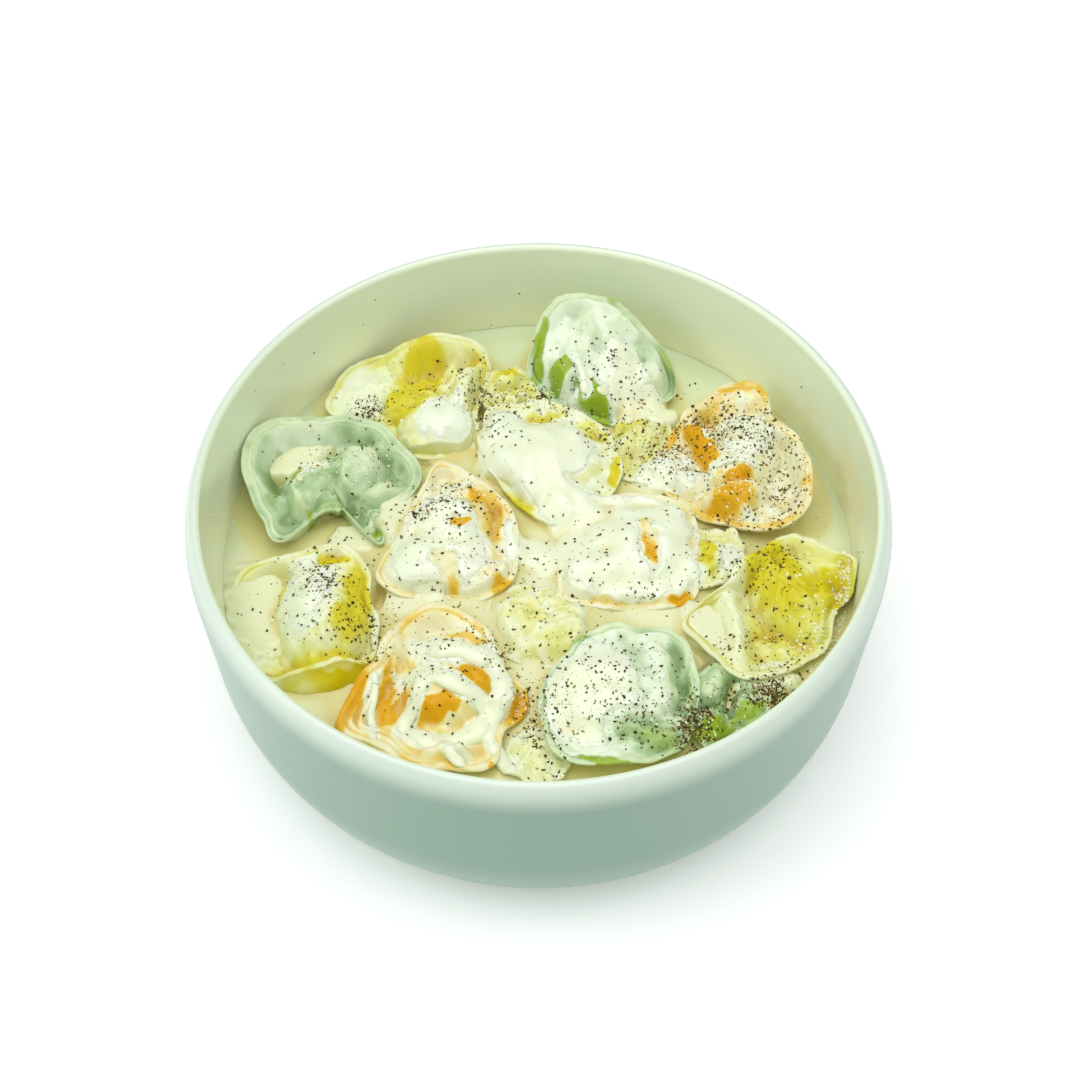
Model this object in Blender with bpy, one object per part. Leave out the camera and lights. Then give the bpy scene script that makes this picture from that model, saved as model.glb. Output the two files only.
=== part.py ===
"""Tricolour tortellini in cream sauce, in their round bowl.

Sizes are in millimetres and are scaled to metres as each mesh is made.
The origin is the middle of the bowl's foot, +Z is up, -Y is the front.
"""

import math

import bmesh
import bpy

MM = 0.001

# The bowl
BOWL_SEGMENTS = 48
BOWL_RADIUS = 82.6
BOWL_HEIGHT = 66.5
LIP_TOP_RADIUS = 79.7
LIP_DROP_OUTSIDE = 7.5
LIP_DROP_INSIDE = 1.5
MOUTH_RADIUS = 78.5
WAIST_HEIGHT = 30.0
WAIST_RADIUS = 80.6
FOOT_OUTER_RADIUS = 64.0
FOOT_INNER_RADIUS = 55.0
FOOT_RECESS = 1.5
FLOOR_THICKNESS = 5.5
FLOOR_RADIUS = 46.0
INNER_CORNER_HEIGHT = 34.0
INNER_CORNER_RADIUS = 75.6

# The cream and the gaps between touching solids
SAUCE_LEVEL = 38.6
SAUCE_MIDDLE_LEVEL = 42.0
SAUCE_MIDDLE_RADIUS = 34.0
GAP = 0.3
WALL_CLEARANCE = 0.7

# Every tortellino
DOUGH_THICKNESS = 2.2
BRIM_LEAN = 3.2
BODY_DEPTH = 15.0
CROWDING = 1.12
COLUMN_SPAN = 26.0
SMALL_COLUMN_SPAN = 40.0
FILLING_RINGS = (0.36, 0.68, 0.92)

YELLOW = (0.78, 0.62, 0.12)
GREEN = (0.42, 0.52, 0.22)
ORANGE = (0.85, 0.48, 0.10)
CREAM = (0.86, 0.84, 0.66)
GLAZE = (0.74, 0.82, 0.73)

# centre: middle of the piece in the bowl.  floor: height of the hollow inside its brim.
# rise: how much the floor climbs for each millimetre towards the back.
# brim: azimuth in degrees (0 is right, 90 is back), reach from the centre, height of the edge.
# lumps: offset x, offset y, half length, half width, turn in degrees, height over the floor.
PIECES = {
    "tortellino_yellow_back": dict(
        colour=YELLOW, centre=(-33, 47), floor=40.5,
        brim=[(5, 20, 42), (30, 24, 45), (48, 22, 49), (68, 19, 49), (108, 15, 45),
              (134, 18, 44), (160, 20, 43), (188, 21, 42), (240, 12, 41), (300, 19, 40),
              (334, 19, 42)],
        lumps=[(3, 3, 9, 11, 0, 6), (6, -9, 11, 7, 10, 6)]),
    "tortellino_green_back": dict(
        colour=GREEN, centre=(16, 57), floor=47, rise=0.35,
        brim=[(3, 18, 48), (18, 15, 53), (38, 12, 56), (70, 12, 57), (95, 13, 58),
              (128, 16, 58), (154, 17, 54), (168, 17, 49), (184, 18, 43), (246, 15, 42),
              (285, 16, 42), (322, 18, 42), (346, 20, 43)],
        lumps=[(2, 1, 10, 8, 90, 4), (-10, -4, 5, 4, 20, 3), (-2, -12, 6, 4, -50, 3)]),
    "tortellino_orange_right": dict(
        colour=ORANGE, centre=(48, 27), floor=42.5,
        brim=[(1, 16, 51), (24, 13, 51), (60, 18, 51), (76, 20, 51), (102, 18, 46),
              (144, 19, 43), (178, 19, 42), (216, 20, 43), (250, 20, 43), (285, 22, 45),
              (306, 26, 48), (324, 23, 50), (342, 19, 51)],
        lumps=[(-1, 5, 13, 11, 60, 7.5), (1, -10, 9, 5, 15, 5), (-8, 4, 8, 3.5, -60, 5)]),
    "tortellino_green_left": dict(
        colour=GREEN, centre=(-52, 19), floor=42,
        brim=[(8, 23, 44), (36, 21, 46), (65, 20, 47), (104, 18, 49), (130, 20, 51),
              (160, 21, 51), (182, 20, 50), (204, 18, 48), (225, 18, 46), (248, 20, 43),
              (280, 12, 43), (308, 20, 42), (338, 21, 43)],
        lumps=[(-2, -5, 7, 7, 0, 6), (9, 6, 8, 6, 30, 6), (4, -9, 10, 3, 0, 4)]),
    "tortellino_yellow_middle": dict(
        colour=YELLOW, centre=(2, 24), floor=43,
        brim=[(0, 19, 45), (28, 19, 46), (54, 19, 46), (80, 19, 46), (106, 20, 45),
              (132, 23, 44), (148, 20, 45), (184, 13, 44), (228, 12, 44), (264, 16, 44),
              (298, 20, 44), (330, 18, 44)],
        lumps=[(-1, 2, 16, 13, 20, 6.5)]),
    "tortellino_orange_middle_left": dict(
        colour=ORANGE, centre=(-20, 2), floor=43,
        brim=[(16, 15, 45), (48, 16, 46), (74, 17, 47), (100, 23, 47), (120, 17, 46),
              (152, 13, 45), (192, 16, 44), (213, 22, 43), (230, 20, 42), (262, 17, 42),
              (300, 19, 42), (320, 18, 43), (345, 16, 44)],
        lumps=[(-1, 3, 14, 12, 70, 6.5), (4, -8, 8, 6, 20, 4)]),
    "tortellino_orange_middle_right": dict(
        colour=ORANGE, centre=(22, -4), floor=43,
        brim=[(0, 16, 45), (30, 19, 45), (58, 21, 45), (84, 19, 45), (112, 19, 45),
              (150, 16, 44), (186, 17, 43), (212, 19, 43), (236, 15, 42), (270, 14, 42),
              (306, 15, 42), (328, 18, 43)],
        lumps=[(2, 1, 15, 11, 0, 6), (-8, -6, 7, 6, 20, 3.5)]),
    "tortellino_yellow_right": dict(
        colour=YELLOW, centre=(58, -14), floor=41,
        brim=[(20, 19, 47), (36, 16, 48), (52, 14, 49), (80, 13, 49), (108, 11, 49),
              (140, 10, 49), (164, 13, 48), (186, 20, 44), (198, 26, 43), (228, 26, 43),
              (248, 27, 43), (266, 23, 42), (286, 19, 42), (318, 13, 43), (350, 15, 44)],
        lumps=[(4, -3, 15, 12, -60, 7), (-12, -6, 8, 3, -70, 5)]),
    "tortellino_yellow_left": dict(
        colour=YELLOW, centre=(-51, -18), floor=41,
        brim=[(16, 12, 43), (46, 14, 45), (74, 17, 46), (98, 16, 47), (120, 17, 45),
              (142, 20, 43), (162, 24, 41), (206, 19, 39), (249, 23, 41), (272, 17, 44),
              (288, 16, 44), (304, 21, 42), (330, 15, 42)],
        lumps=[(1, -2, 16, 12.5, 95, 8.5)]),
    "tortellino_orange_front": dict(
        colour=ORANGE, centre=(-22, -42), floor=42,
        brim=[(10, 17, 43), (34, 16, 45), (52, 18, 46), (72, 20, 46), (96, 22, 46),
              (118, 21, 46), (144, 17, 46), (164, 18, 46), (188, 21, 45), (203, 26, 44),
              (228, 21, 43), (260, 21, 42), (298, 22, 42), (320, 16, 42), (350, 20, 42)],
        lumps=[(-1, 1, 14, 11, 30, 6), (1, -16, 6, 4, 0, 3)]),
    "tortellino_green_front": dict(
        colour=GREEN, centre=(21, -43), floor=42,
        brim=[(0, 16, 43), (22, 16, 45), (44, 18, 46), (66, 18, 46), (96, 17, 46),
              (118, 18, 46), (150, 19, 46), (178, 21, 45), (203, 22, 45), (222, 22, 45),
              (244, 18, 45), (268, 18, 44), (292, 18, 43), (326, 17, 42)],
        lumps=[(-1, 0, 13, 12, 0, 6.5), (10, -1, 8, 3, 80, 5)]),
    "tortellino_green_corner": dict(
        colour=GREEN, centre=(44, -48), floor=40, small=True,
        brim=[(20, 9, 42), (100, 9, 42), (190, 10, 42), (280, 9, 41)],
        lumps=[(0, 0, 8, 7, 45, 3)]),
    "tortellino_pale_middle": dict(
        colour=YELLOW, centre=(1, -20), floor=42, small=True,
        brim=[(20, 13, 43), (95, 9, 44), (158, 14, 43), (238, 14, 43), (284, 15, 43),
              (335, 15, 43)],
        lumps=[(1, -3, 11, 9, 0, 3)]),
    "tortellino_pale_back": dict(
        colour=YELLOW, centre=(27, 33), floor=42, small=True,
        brim=[(20, 9, 43), (90, 10, 43), (160, 9, 44), (225, 11, 44), (290, 14, 44)],
        lumps=[(-2, 1, 7, 5, 20, 3)]),
    "tortellino_yellow_scrap": dict(
        colour=YELLOW, centre=(-7, 50), floor=42, small=True,
        brim=[(0, 7, 43), (90, 7, 44), (180, 7, 43), (270, 7, 43)],
        lumps=[(0, 0, 6, 6, 0, 3)]),
    "tortellino_yellow_fold": dict(
        colour=YELLOW, centre=(43, -2), floor=43, small=True,
        brim=[(0, 7, 44), (80, 8, 44), (150, 7, 44), (240, 11, 44), (285, 10, 44)],
        lumps=[(-1, -3, 6, 6, 0, 3.5)]),
    "tortellino_pale_front": dict(
        colour=YELLOW, centre=(0, -57), floor=40.5, small=True,
        brim=[(20, 7, 42), (90, 8, 42), (160, 7, 42), (270, 8, 41)],
        lumps=[(0, 0, 5, 6, 0, 2)]),
}


def clear_scene():
    for obj in list(bpy.data.objects):
        bpy.data.objects.remove(obj, do_unlink=True)


def principled(name, colour, roughness):
    material = bpy.data.materials.new(name)
    material.use_nodes = True
    shader = material.node_tree.nodes["Principled BSDF"]
    shader.inputs["Base Color"].default_value = (*colour, 1.0)
    shader.inputs["Roughness"].default_value = roughness
    shader.inputs["Metallic"].default_value = 0.0
    return material


def object_from_bmesh(name, mesh_data, colour=None, roughness=0.4):
    bmesh.ops.recalc_face_normals(mesh_data, faces=mesh_data.faces)
    mesh = bpy.data.meshes.new(name)
    mesh_data.to_mesh(mesh)
    mesh_data.free()
    obj = bpy.data.objects.new(name, mesh)
    bpy.context.scene.collection.objects.link(obj)
    if colour:
        mesh.materials.append(principled(name + "_finish", colour, roughness))
        mesh.shade_smooth()
    return obj


def quarter_arc(start, corner, end, steps):
    """Points of a quarter ellipse from start to end that bulges towards corner."""
    points = []
    for step in range(steps + 1):
        angle = 0.5 * math.pi * step / steps
        towards_end = 1.0 - math.cos(angle)
        towards_corner = math.sin(angle)
        points.append(tuple(
            s + (c - s) * towards_corner + (e - c) * towards_end
            for s, c, e in zip(start, corner, end)))
    return points


def turned(name, profile, colour, roughness):
    """Spins a profile of (radius, height) points, open ends on the axis, into a closed solid."""
    bm = bmesh.new()
    verts = [bm.verts.new((r * MM, 0.0, z * MM)) for r, z in profile]
    edges = [bm.edges.new(pair) for pair in zip(verts, verts[1:])]
    bmesh.ops.spin(bm, geom=verts + edges, cent=(0, 0, 0), axis=(0, 0, 1),
                   angle=2 * math.pi, steps=BOWL_SEGMENTS, use_merge=True)
    bmesh.ops.remove_doubles(bm, verts=bm.verts, dist=0.01 * MM)
    return object_from_bmesh(name, bm, colour, roughness)


def inner_wall(level_top, inset):
    """The bowl's inside from the middle of its floor up to a level, moved in by inset."""
    corner = quarter_arc((FLOOR_RADIUS, FLOOR_THICKNESS),
                         (INNER_CORNER_RADIUS, FLOOR_THICKNESS),
                         (INNER_CORNER_RADIUS, INNER_CORNER_HEIGHT), 4)
    lean = (MOUTH_RADIUS - INNER_CORNER_RADIUS) / (BOWL_HEIGHT - INNER_CORNER_HEIGHT)
    top = (INNER_CORNER_RADIUS + lean * (level_top - INNER_CORNER_HEIGHT), level_top)
    points = [(0.0, FLOOR_THICKNESS)] + corner + [top]
    return [(max(0.0, r - inset), z + (inset if z < level_top else 0.0)) for r, z in points]


def make_bowl():
    lip_start = (MOUTH_RADIUS, BOWL_HEIGHT - LIP_DROP_INSIDE)
    lip_inside = quarter_arc(lip_start, (MOUTH_RADIUS, BOWL_HEIGHT),
                             (LIP_TOP_RADIUS, BOWL_HEIGHT), 2)
    lip_outside = quarter_arc((LIP_TOP_RADIUS, BOWL_HEIGHT), (BOWL_RADIUS, BOWL_HEIGHT),
                              (BOWL_RADIUS, BOWL_HEIGHT - LIP_DROP_OUTSIDE), 3)
    belly = quarter_arc((WAIST_RADIUS, WAIST_HEIGHT), (WAIST_RADIUS - 2.0, 8.0),
                        (FOOT_OUTER_RADIUS, 0.0), 4)
    foot = [(FOOT_INNER_RADIUS, 0.0), (FOOT_INNER_RADIUS - FOOT_RECESS, FOOT_RECESS),
            (0.0, FOOT_RECESS)]
    inside = inner_wall(lip_start[1], 0.0)[:-1]
    turned("bowl", inside + lip_inside + lip_outside[1:] + belly + foot, GLAZE, 0.12)


def brim_at(piece, azimuth):
    """Reach and height of a piece's edge at an azimuth, on a smooth curve through its brim points."""
    knots = piece["brim"]
    count = len(knots)
    for index in range(count):
        before, start, end, after = (knots[(index + step) % count] for step in (-1, 0, 1, 2))
        span = (end[0] - start[0]) % 360
        share = ((azimuth - start[0]) % 360) / span
        if share <= 1.0:
            span_before = (start[0] - before[0]) % 360
            span_after = (after[0] - end[0]) % 360
            values = []
            for axis in (1, 2):
                slope_start = (end[axis] - before[axis]) / (span + span_before) * span
                slope_end = (after[axis] - start[axis]) / (span + span_after) * span
                rest = 1.0 - share
                values.append(start[axis] * rest * rest * (1.0 + 2.0 * share)
                              + end[axis] * share * share * (3.0 - 2.0 * share)
                              + slope_start * share * rest * rest
                              - slope_end * share * share * rest)
            return values
    raise ValueError("brim points must go round in order")


def lump_height(piece, x, y):
    """Height of the filling and folds over the floor, at an offset from the centre."""
    highest = 0.0
    for offset_x, offset_y, half_length, half_width, turn, height in piece["lumps"]:
        cos_turn = math.cos(math.radians(turn))
        sin_turn = math.sin(math.radians(turn))
        along = ((x - offset_x) * cos_turn + (y - offset_y) * sin_turn) / half_length
        across = ((y - offset_y) * cos_turn - (x - offset_x) * sin_turn) / half_width
        distance = along * along + across * across
        if distance < 1.0:
            highest = max(highest, height * (1.0 - distance) ** 0.5)
    return highest


def reach_to_wall(centre, direction):
    """Distance from a centre to the cream's edge at the bowl's wall, along a direction."""
    limit = INNER_CORNER_RADIUS - WALL_CLEARANCE
    along = centre[0] * direction[0] + centre[1] * direction[1]
    distance_squared = centre[0] ** 2 + centre[1] ** 2
    return -along + math.sqrt(along * along - distance_squared + limit * limit)


def reach_to_neighbour(piece, other, direction):
    """Distance to the plane where two pieces press on each other, along a direction."""
    dx = other["centre"][0] - piece["centre"][0]
    dy = other["centre"][1] - piece["centre"][1]
    distance = math.hypot(dx, dy)
    towards = (direction[0] * dx + direction[1] * dy) / distance
    if towards < 0.05:
        return math.inf
    azimuth = math.degrees(math.atan2(dy, dx)) % 360
    own_reach = brim_at(piece, azimuth)[0]
    other_reach = brim_at(other, (azimuth + 180) % 360)[0]
    share = own_reach / (own_reach + other_reach)
    return (distance * share - 0.5 * GAP) / towards


def free_reach(piece, direction, wanted):
    """Reach of a piece's edge, pressed wider by CROWDING unless the wall or a neighbour stops it."""
    limits = [wanted * CROWDING, reach_to_wall(piece["centre"], direction)]
    limits += [reach_to_neighbour(piece, other, direction)
               for other in PIECES.values() if other is not piece]
    return min(limits)


def column_azimuths(piece):
    """Azimuths of the brim's points, with more between them where they are far apart."""
    widest = SMALL_COLUMN_SPAN if piece.get("small") else COLUMN_SPAN
    angles = [knot[0] for knot in piece["brim"]]
    azimuths = []
    for angle, next_angle in zip(angles, angles[1:] + angles[:1]):
        span = (next_angle - angle) % 360
        parts = math.ceil(span / widest - 0.01)
        azimuths += [angle + span * part / parts for part in range(parts)]
    return azimuths


def body_columns(piece, grow):
    """Columns of points from the filling, over the brim's edge, to the underside."""
    depth = BODY_DEPTH * (0.6 if piece.get("small") else 1.0)
    centre_x, centre_y = piece["centre"]
    rise = piece.get("rise", 0.0)
    columns = []
    for azimuth in column_azimuths(piece):
        direction = (math.cos(math.radians(azimuth)), math.sin(math.radians(azimuth)))
        wanted, edge = brim_at(piece, azimuth)
        reach = free_reach(piece, direction, wanted)
        foot = reach - DOUGH_THICKNESS - BRIM_LEAN
        column = []
        for share in FILLING_RINGS:
            x = foot * share * direction[0]
            y = foot * share * direction[1]
            column.append((foot * share, piece["floor"] + rise * y + lump_height(piece, x, y)))
        foot_height = min(edge, piece["floor"] + rise * foot * direction[1]) + 0.4
        column.append((foot, foot_height))
        column.append((reach - DOUGH_THICKNESS, edge))
        column = [(r, z + grow) for r, z in column]
        under = min(edge, piece["floor"])
        column.append((reach + grow, edge - 0.5 * DOUGH_THICKNESS + grow))
        column.append((reach - 0.8 + grow, under - 0.3 * depth))
        column.append((0.72 * reach + grow, under - 0.8 * depth - grow))
        columns.append([(centre_x + r * direction[0], centre_y + r * direction[1], z)
                        for r, z in column])
    top = (centre_x, centre_y, piece["floor"] + lump_height(piece, 0, 0) + grow)
    bottom = (centre_x, centre_y, min(piece["floor"], 43.0) - depth - grow)
    return columns, top, bottom


def make_tortellino(name, piece, grow=0.0):
    columns, top, bottom = body_columns(piece, grow)
    bm = bmesh.new()
    grid = [[bm.verts.new([c * MM for c in point]) for point in column] for column in columns]
    top_vert = bm.verts.new([c * MM for c in top])
    bottom_vert = bm.verts.new([c * MM for c in bottom])
    for column, next_column in zip(grid, grid[1:] + grid[:1]):
        bm.faces.new((top_vert, column[0], next_column[0]))
        for ring in range(len(column) - 1):
            bm.faces.new((column[ring], column[ring + 1], next_column[ring + 1], next_column[ring]))
        bm.faces.new((column[-1], bottom_vert, next_column[-1]))
    colour = None if grow else piece["colour"]
    return object_from_bmesh(name, bm, colour)


def cut(target, cutter):
    cutter.hide_render = True
    cutter.display_type = "WIRE"
    modifier = target.modifiers.new(cutter.name, "BOOLEAN")
    modifier.operation = "DIFFERENCE"
    modifier.solver = "EXACT"
    modifier.object = cutter


def make_sauce():
    middle = [(SAUCE_MIDDLE_RADIUS, SAUCE_MIDDLE_LEVEL), (0.0, SAUCE_MIDDLE_LEVEL)]
    profile = inner_wall(SAUCE_LEVEL, GAP) + middle
    sauce = turned("cream_sauce", profile, CREAM, 0.3)
    for name, piece in PIECES.items():
        cut(sauce, make_tortellino(name + "_hollow", piece, grow=GAP))


def main():
    clear_scene()
    make_bowl()
    for name, piece in PIECES.items():
        make_tortellino(name, piece)
    make_sauce()


main()
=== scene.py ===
import math

import bpy
import numpy as np
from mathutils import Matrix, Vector
from mathutils.bvhtree import BVHTree


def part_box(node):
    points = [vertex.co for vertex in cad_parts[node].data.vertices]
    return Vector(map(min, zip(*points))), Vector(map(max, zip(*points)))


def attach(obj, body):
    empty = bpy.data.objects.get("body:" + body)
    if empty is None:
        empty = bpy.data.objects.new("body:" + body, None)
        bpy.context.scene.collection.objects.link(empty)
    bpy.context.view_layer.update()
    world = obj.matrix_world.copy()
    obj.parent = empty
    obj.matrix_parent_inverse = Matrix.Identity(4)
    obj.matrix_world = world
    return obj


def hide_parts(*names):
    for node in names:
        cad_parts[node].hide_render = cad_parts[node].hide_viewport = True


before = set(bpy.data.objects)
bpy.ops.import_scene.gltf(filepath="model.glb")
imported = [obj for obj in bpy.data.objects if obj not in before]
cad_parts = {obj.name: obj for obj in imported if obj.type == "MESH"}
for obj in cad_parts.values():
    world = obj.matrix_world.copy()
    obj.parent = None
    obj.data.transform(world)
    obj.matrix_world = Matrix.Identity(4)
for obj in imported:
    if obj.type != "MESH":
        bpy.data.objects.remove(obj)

# The pieces' sizes are in millimetres and become metres as a mesh is placed.
# Distances in the finishes and the studio are in metres.
mm = 0.001
dropFrom, dropReach = 0.08, 0.06    # things fall on the food from above the rim, and are followed this far
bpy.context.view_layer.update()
bpy.ops.object.select_all(action="DESELECT")
print("frame loaded:", len(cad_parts), "nodes")


class Wire:
    # wraps one socket, so that masks are written as plain arithmetic
    def __init__(self, finish, socket):
        self.finish = finish
        self.socket = socket

    def joined(self, operation, first, second):
        return self.finish.add("ShaderNodeMath", {"operation": operation}, {0: first, 1: second})

    def __add__(self, other):
        return self.joined("ADD", self, other)

    def __radd__(self, other):
        return self.joined("ADD", other, self)

    def __sub__(self, other):
        return self.joined("SUBTRACT", self, other)

    def __rsub__(self, other):
        return self.joined("SUBTRACT", other, self)

    def __mul__(self, other):
        return self.joined("MULTIPLY", self, other)

    def __rmul__(self, other):
        return self.joined("MULTIPLY", other, self)

    def __pow__(self, other):
        return self.joined("POWER", self, other)


class Finish:
    # one material, with its Principled shader ready to be fed
    def __init__(self, name, fixed):
        self.material = bpy.data.materials.new(name)
        self.material.use_nodes = True
        self.tree = self.material.node_tree
        self.shader = self.tree.nodes["Principled BSDF"]
        for socket, value in fixed.items():
            self.give(socket, value)

    def add(self, kind, settings=None, inputs=None, output=0):
        node = self.tree.nodes.new(kind)
        for key, value in (settings or {}).items():
            if key == "stops":
                ramp = node.color_ramp
                while len(ramp.elements) < len(value):
                    ramp.elements.new(0.5)
                for element, (position, colour) in zip(ramp.elements, value):
                    element.position = position
                    element.color = (*linear(colour), 1.0)
            else:
                setattr(node, key, value)
        for key, value in (inputs or {}).items():
            self.feed(node.inputs[key], value)
        return Wire(self, node.outputs[output])

    def feed(self, socket, value):
        if isinstance(value, Wire):
            self.tree.links.new(value.socket, socket)
        else:
            socket.default_value = value

    def give(self, name, value):
        self.feed(self.shader.inputs[name], value)

    def place(self):
        return self.add("ShaderNodeTexCoord", output=3)     # the object's own coordinates

    def along(self, axis):
        # how far along x, y or z in metres
        return self.add("ShaderNodeSeparateXYZ", None, {0: self.place()}, output="xyz".index(axis))

    def noise(self, scale, detail=3.0, roughness=0.5):
        return self.add("ShaderNodeTexNoise", None,
                        {"Vector": self.place(), "Scale": scale, "Detail": detail, "Roughness": roughness})

    def painted(self, name):
        return self.add("ShaderNodeAttribute", {"attribute_name": name}, output=2)

    def ramp(self, factor, stops):
        return self.add("ShaderNodeValToRGB", {"stops": stops}, {0: factor})

    def steps(self, value, low, high):
        # 0 below low, 1 above high, smooth between
        settings = {"interpolation_type": "SMOOTHSTEP", "clamp": True}
        return self.add("ShaderNodeMapRange", settings, {0: value, 1: low, 2: high})

    def blend(self, factor, first, second):
        first = first if isinstance(first, Wire) else (*linear(first), 1.0)
        second = second if isinstance(second, Wire) else (*linear(second), 1.0)
        return self.add("ShaderNodeMix", {"data_type": "RGBA"}, {0: factor, 6: first, 7: second}, output=2)

    def relief(self, height, distance, strength):
        bump = self.add("ShaderNodeBump", None,
                        {"Height": height, "Distance": distance, "Strength": strength})
        self.give("Normal", bump)


def linear(colour):
    # a screen colour from 0 to 255 as the scene's light values
    shares = [channel / 255.0 for channel in colour]
    return tuple(s / 12.92 if s <= 0.04045 else ((s + 0.055) / 1.055) ** 2.4 for s in shares)


def vectorsOf(obj, key):
    flat = np.empty(len(obj.data.vertices) * 3)
    obj.data.vertices.foreach_get(key, flat)
    return flat.reshape(-1, 3)


def pointsOf(obj):
    return vectorsOf(obj, "co") / mm


def placePoints(obj, points):
    obj.data.vertices.foreach_set("co", (points * mm).ravel())
    obj.data.update()


def paintPoints(obj, name, values):
    layer = obj.data.attributes.new(name, "FLOAT", "POINT")
    layer.data.foreach_set("value", np.asarray(values, dtype=np.float32))


def newObject(name, points, faces):
    mesh = bpy.data.meshes.new(name)
    mesh.from_pydata((points * mm).tolist(), [], faces)
    obj = bpy.data.objects.new(name, mesh)
    bpy.context.scene.collection.objects.link(obj)
    return obj


def pickOnly(obj):
    bpy.ops.object.select_all(action="DESELECT")
    obj.select_set(True)
    bpy.context.view_layer.objects.active = obj


def startEdit(obj, pick="SELECT"):
    pickOnly(obj)
    bpy.ops.object.mode_set(mode="EDIT")
    bpy.ops.mesh.select_all(action=pick)


def pickRim(obj, chosen):
    # edit mode with only the chosen vertices selected
    startEdit(obj, "DESELECT")
    bpy.ops.object.mode_set(mode="OBJECT")
    obj.data.vertices.foreach_set("select", chosen)
    bpy.ops.object.mode_set(mode="EDIT")


def pullRim(rise, factor, height=0.0):
    # draws a new ring out of the selected rim and widens or narrows it
    bpy.ops.mesh.extrude_edges_move(TRANSFORM_OT_translate={"value": (0, 0, rise * mm)})
    bpy.ops.transform.resize(value=(factor, factor, 1.0), center_override=(0, 0, height * mm))


def endEdit():
    bpy.ops.mesh.select_all(action="SELECT")
    bpy.ops.mesh.normals_make_consistent(inside=False)
    bpy.ops.object.mode_set(mode="OBJECT")
    bpy.ops.object.shade_smooth()
    bpy.ops.object.select_all(action="DESELECT")


def settle(obj, name, slot, finish, *nodes):
    # names the piece, gives it its material and lets it ride on the one body
    obj.name = name
    obj.data.name = name
    obj.data.materials.clear()
    obj.data.materials.append(finish.material)
    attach(obj, "root")
    if nodes:
        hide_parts(*nodes)
    return obj


def dips(obj, reach):
    # how far each point lies under its surroundings in mm: above 0 in crevices, below 0 on ridges
    mesh = obj.data
    ends = np.empty(len(mesh.edges) * 2, dtype=int)
    mesh.edges.foreach_get("vertices", ends)
    first, second = ends.reshape(-1, 2).T
    count = len(mesh.vertices)
    neighbours = np.bincount(first, minlength=count) + np.bincount(second, minlength=count)
    points = pointsOf(obj)
    calm = points.copy()
    for _ in range(reach):
        total = np.column_stack([np.bincount(first, calm[second, axis], count)
                                 + np.bincount(second, calm[first, axis], count) for axis in range(3)])
        calm = total / np.maximum(neighbours, 1)[:, None]
    return np.sum((calm - points) * vectorsOf(obj, "normal"), axis=1)


def smooth(share):
    share = np.clip(share, 0.0, 1.0)
    return share * share * (3.0 - 2.0 * share)


def unevenness(x, y, seed, size):
    # irregular waves about size across, mostly from -1 to 1
    waves = np.random.default_rng(seed)
    total = np.zeros_like(x)
    for _ in range(10):
        turn = waves.uniform(0, 2 * math.pi)
        rate = 2 * math.pi / (size * waves.uniform(0.7, 1.8))
        total += np.sin(rate * (x * math.cos(turn) + y * math.sin(turn)) + waves.uniform(0, 2 * math.pi))
    return total / 2.6


def wander(x, y):
    # shifts places a little, so that painted edges run irregularly
    return (x + 0.5 * unevenness(x, y, 41, 5.0) + 0.10 * unevenness(x, y, 42, 2.0),
            y + 0.5 * unevenness(x, y, 43, 5.0) + 0.10 * unevenness(x, y, 44, 2.0))


def ovalDistance(x, y, oval):
    # 0 in the middle of an oval, 1 on its edge: middle x, middle y, half length, half width, turn
    centreX, centreY, halfLength, halfWidth, turn = oval
    cosTurn, sinTurn = math.cos(math.radians(turn)), math.sin(math.radians(turn))
    along = ((x - centreX) * cosTurn + (y - centreY) * sinTurn) / halfLength
    across = ((y - centreY) * cosTurn - (x - centreX) * sinTurn) / halfWidth
    return np.sqrt(along * along + across * across)


def lineDistance(x, y, route):
    # distance to a line through several points, and how far along it the nearest point is
    best = np.full_like(x, 1e6)
    share = np.zeros_like(x)
    count = len(route) - 1
    for index, ((ax, ay), (bx, by)) in enumerate(zip(route, route[1:])):
        dx, dy = bx - ax, by - ay
        along = np.clip(((x - ax) * dx + (y - ay) * dy) / (dx * dx + dy * dy), 0.0, 1.0)
        distance = np.hypot(x - ax - along * dx, y - ay - along * dy)
        closer = distance < best
        best = np.where(closer, distance, best)
        share = np.where(closer, (index + along) / count, share)
    return best, share


def rounded(route, passes=2):
    # cuts the corners of a route, so that a fold runs in a soft curve
    for _ in range(passes):
        softer = [route[0]]
        for (ax, ay), (bx, by) in zip(route, route[1:]):
            softer.append((0.75 * ax + 0.25 * bx, 0.75 * ay + 0.25 * by))
            softer.append((0.25 * ax + 0.75 * bx, 0.25 * ay + 0.75 * by))
        softer.append(route[-1])
        route = softer
    return route


bowl = {
    "segments": 160,
    "wall": 4.1,            # thickness of the rim
    "lipDrop": 7.5,         # height of the rounded lip outside
    "lipInside": 1.6,       # and inside
    "lipTop": 2.9,          # how far in from the outside the lip is highest
    "waist": (80.6, 30.0),  # radius and height where the belly starts to curve in
    "foot": 64.0,
    "footRing": 9.0,
    "footRecess": 1.5,
    "floor": 5.5,
    "floorRadius": 46.0,
    "corner": (75.6, 34.0),  # radius and height where the inside turns up
    # two shades each for rim and inside, one for the rest; the inside shades are painted light, lighter than
    # the rim, and the belly is a painted shade of the same glaze
    "rim": ((213, 228, 214), (218, 231, 216)), "inside": ((231, 243, 216), (236, 246, 218)),
    "belly": (118, 156, 134), "wash": (251, 255, 217), "smear": (236, 232, 188), "speck": (150, 160, 140),
}
bowlRadius, _, bowlHeight = np.array(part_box("bowl")[1]) / mm


def quarterArc(start, corner, end, steps):
    angles = np.linspace(0.0, math.pi / 2, steps + 1)[1:]
    start, corner, end = map(np.array, (start, corner, end))
    return [tuple(start + (corner - start) * math.sin(angle) + (end - corner) * (1 - math.cos(angle)))
            for angle in angles]


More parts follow.
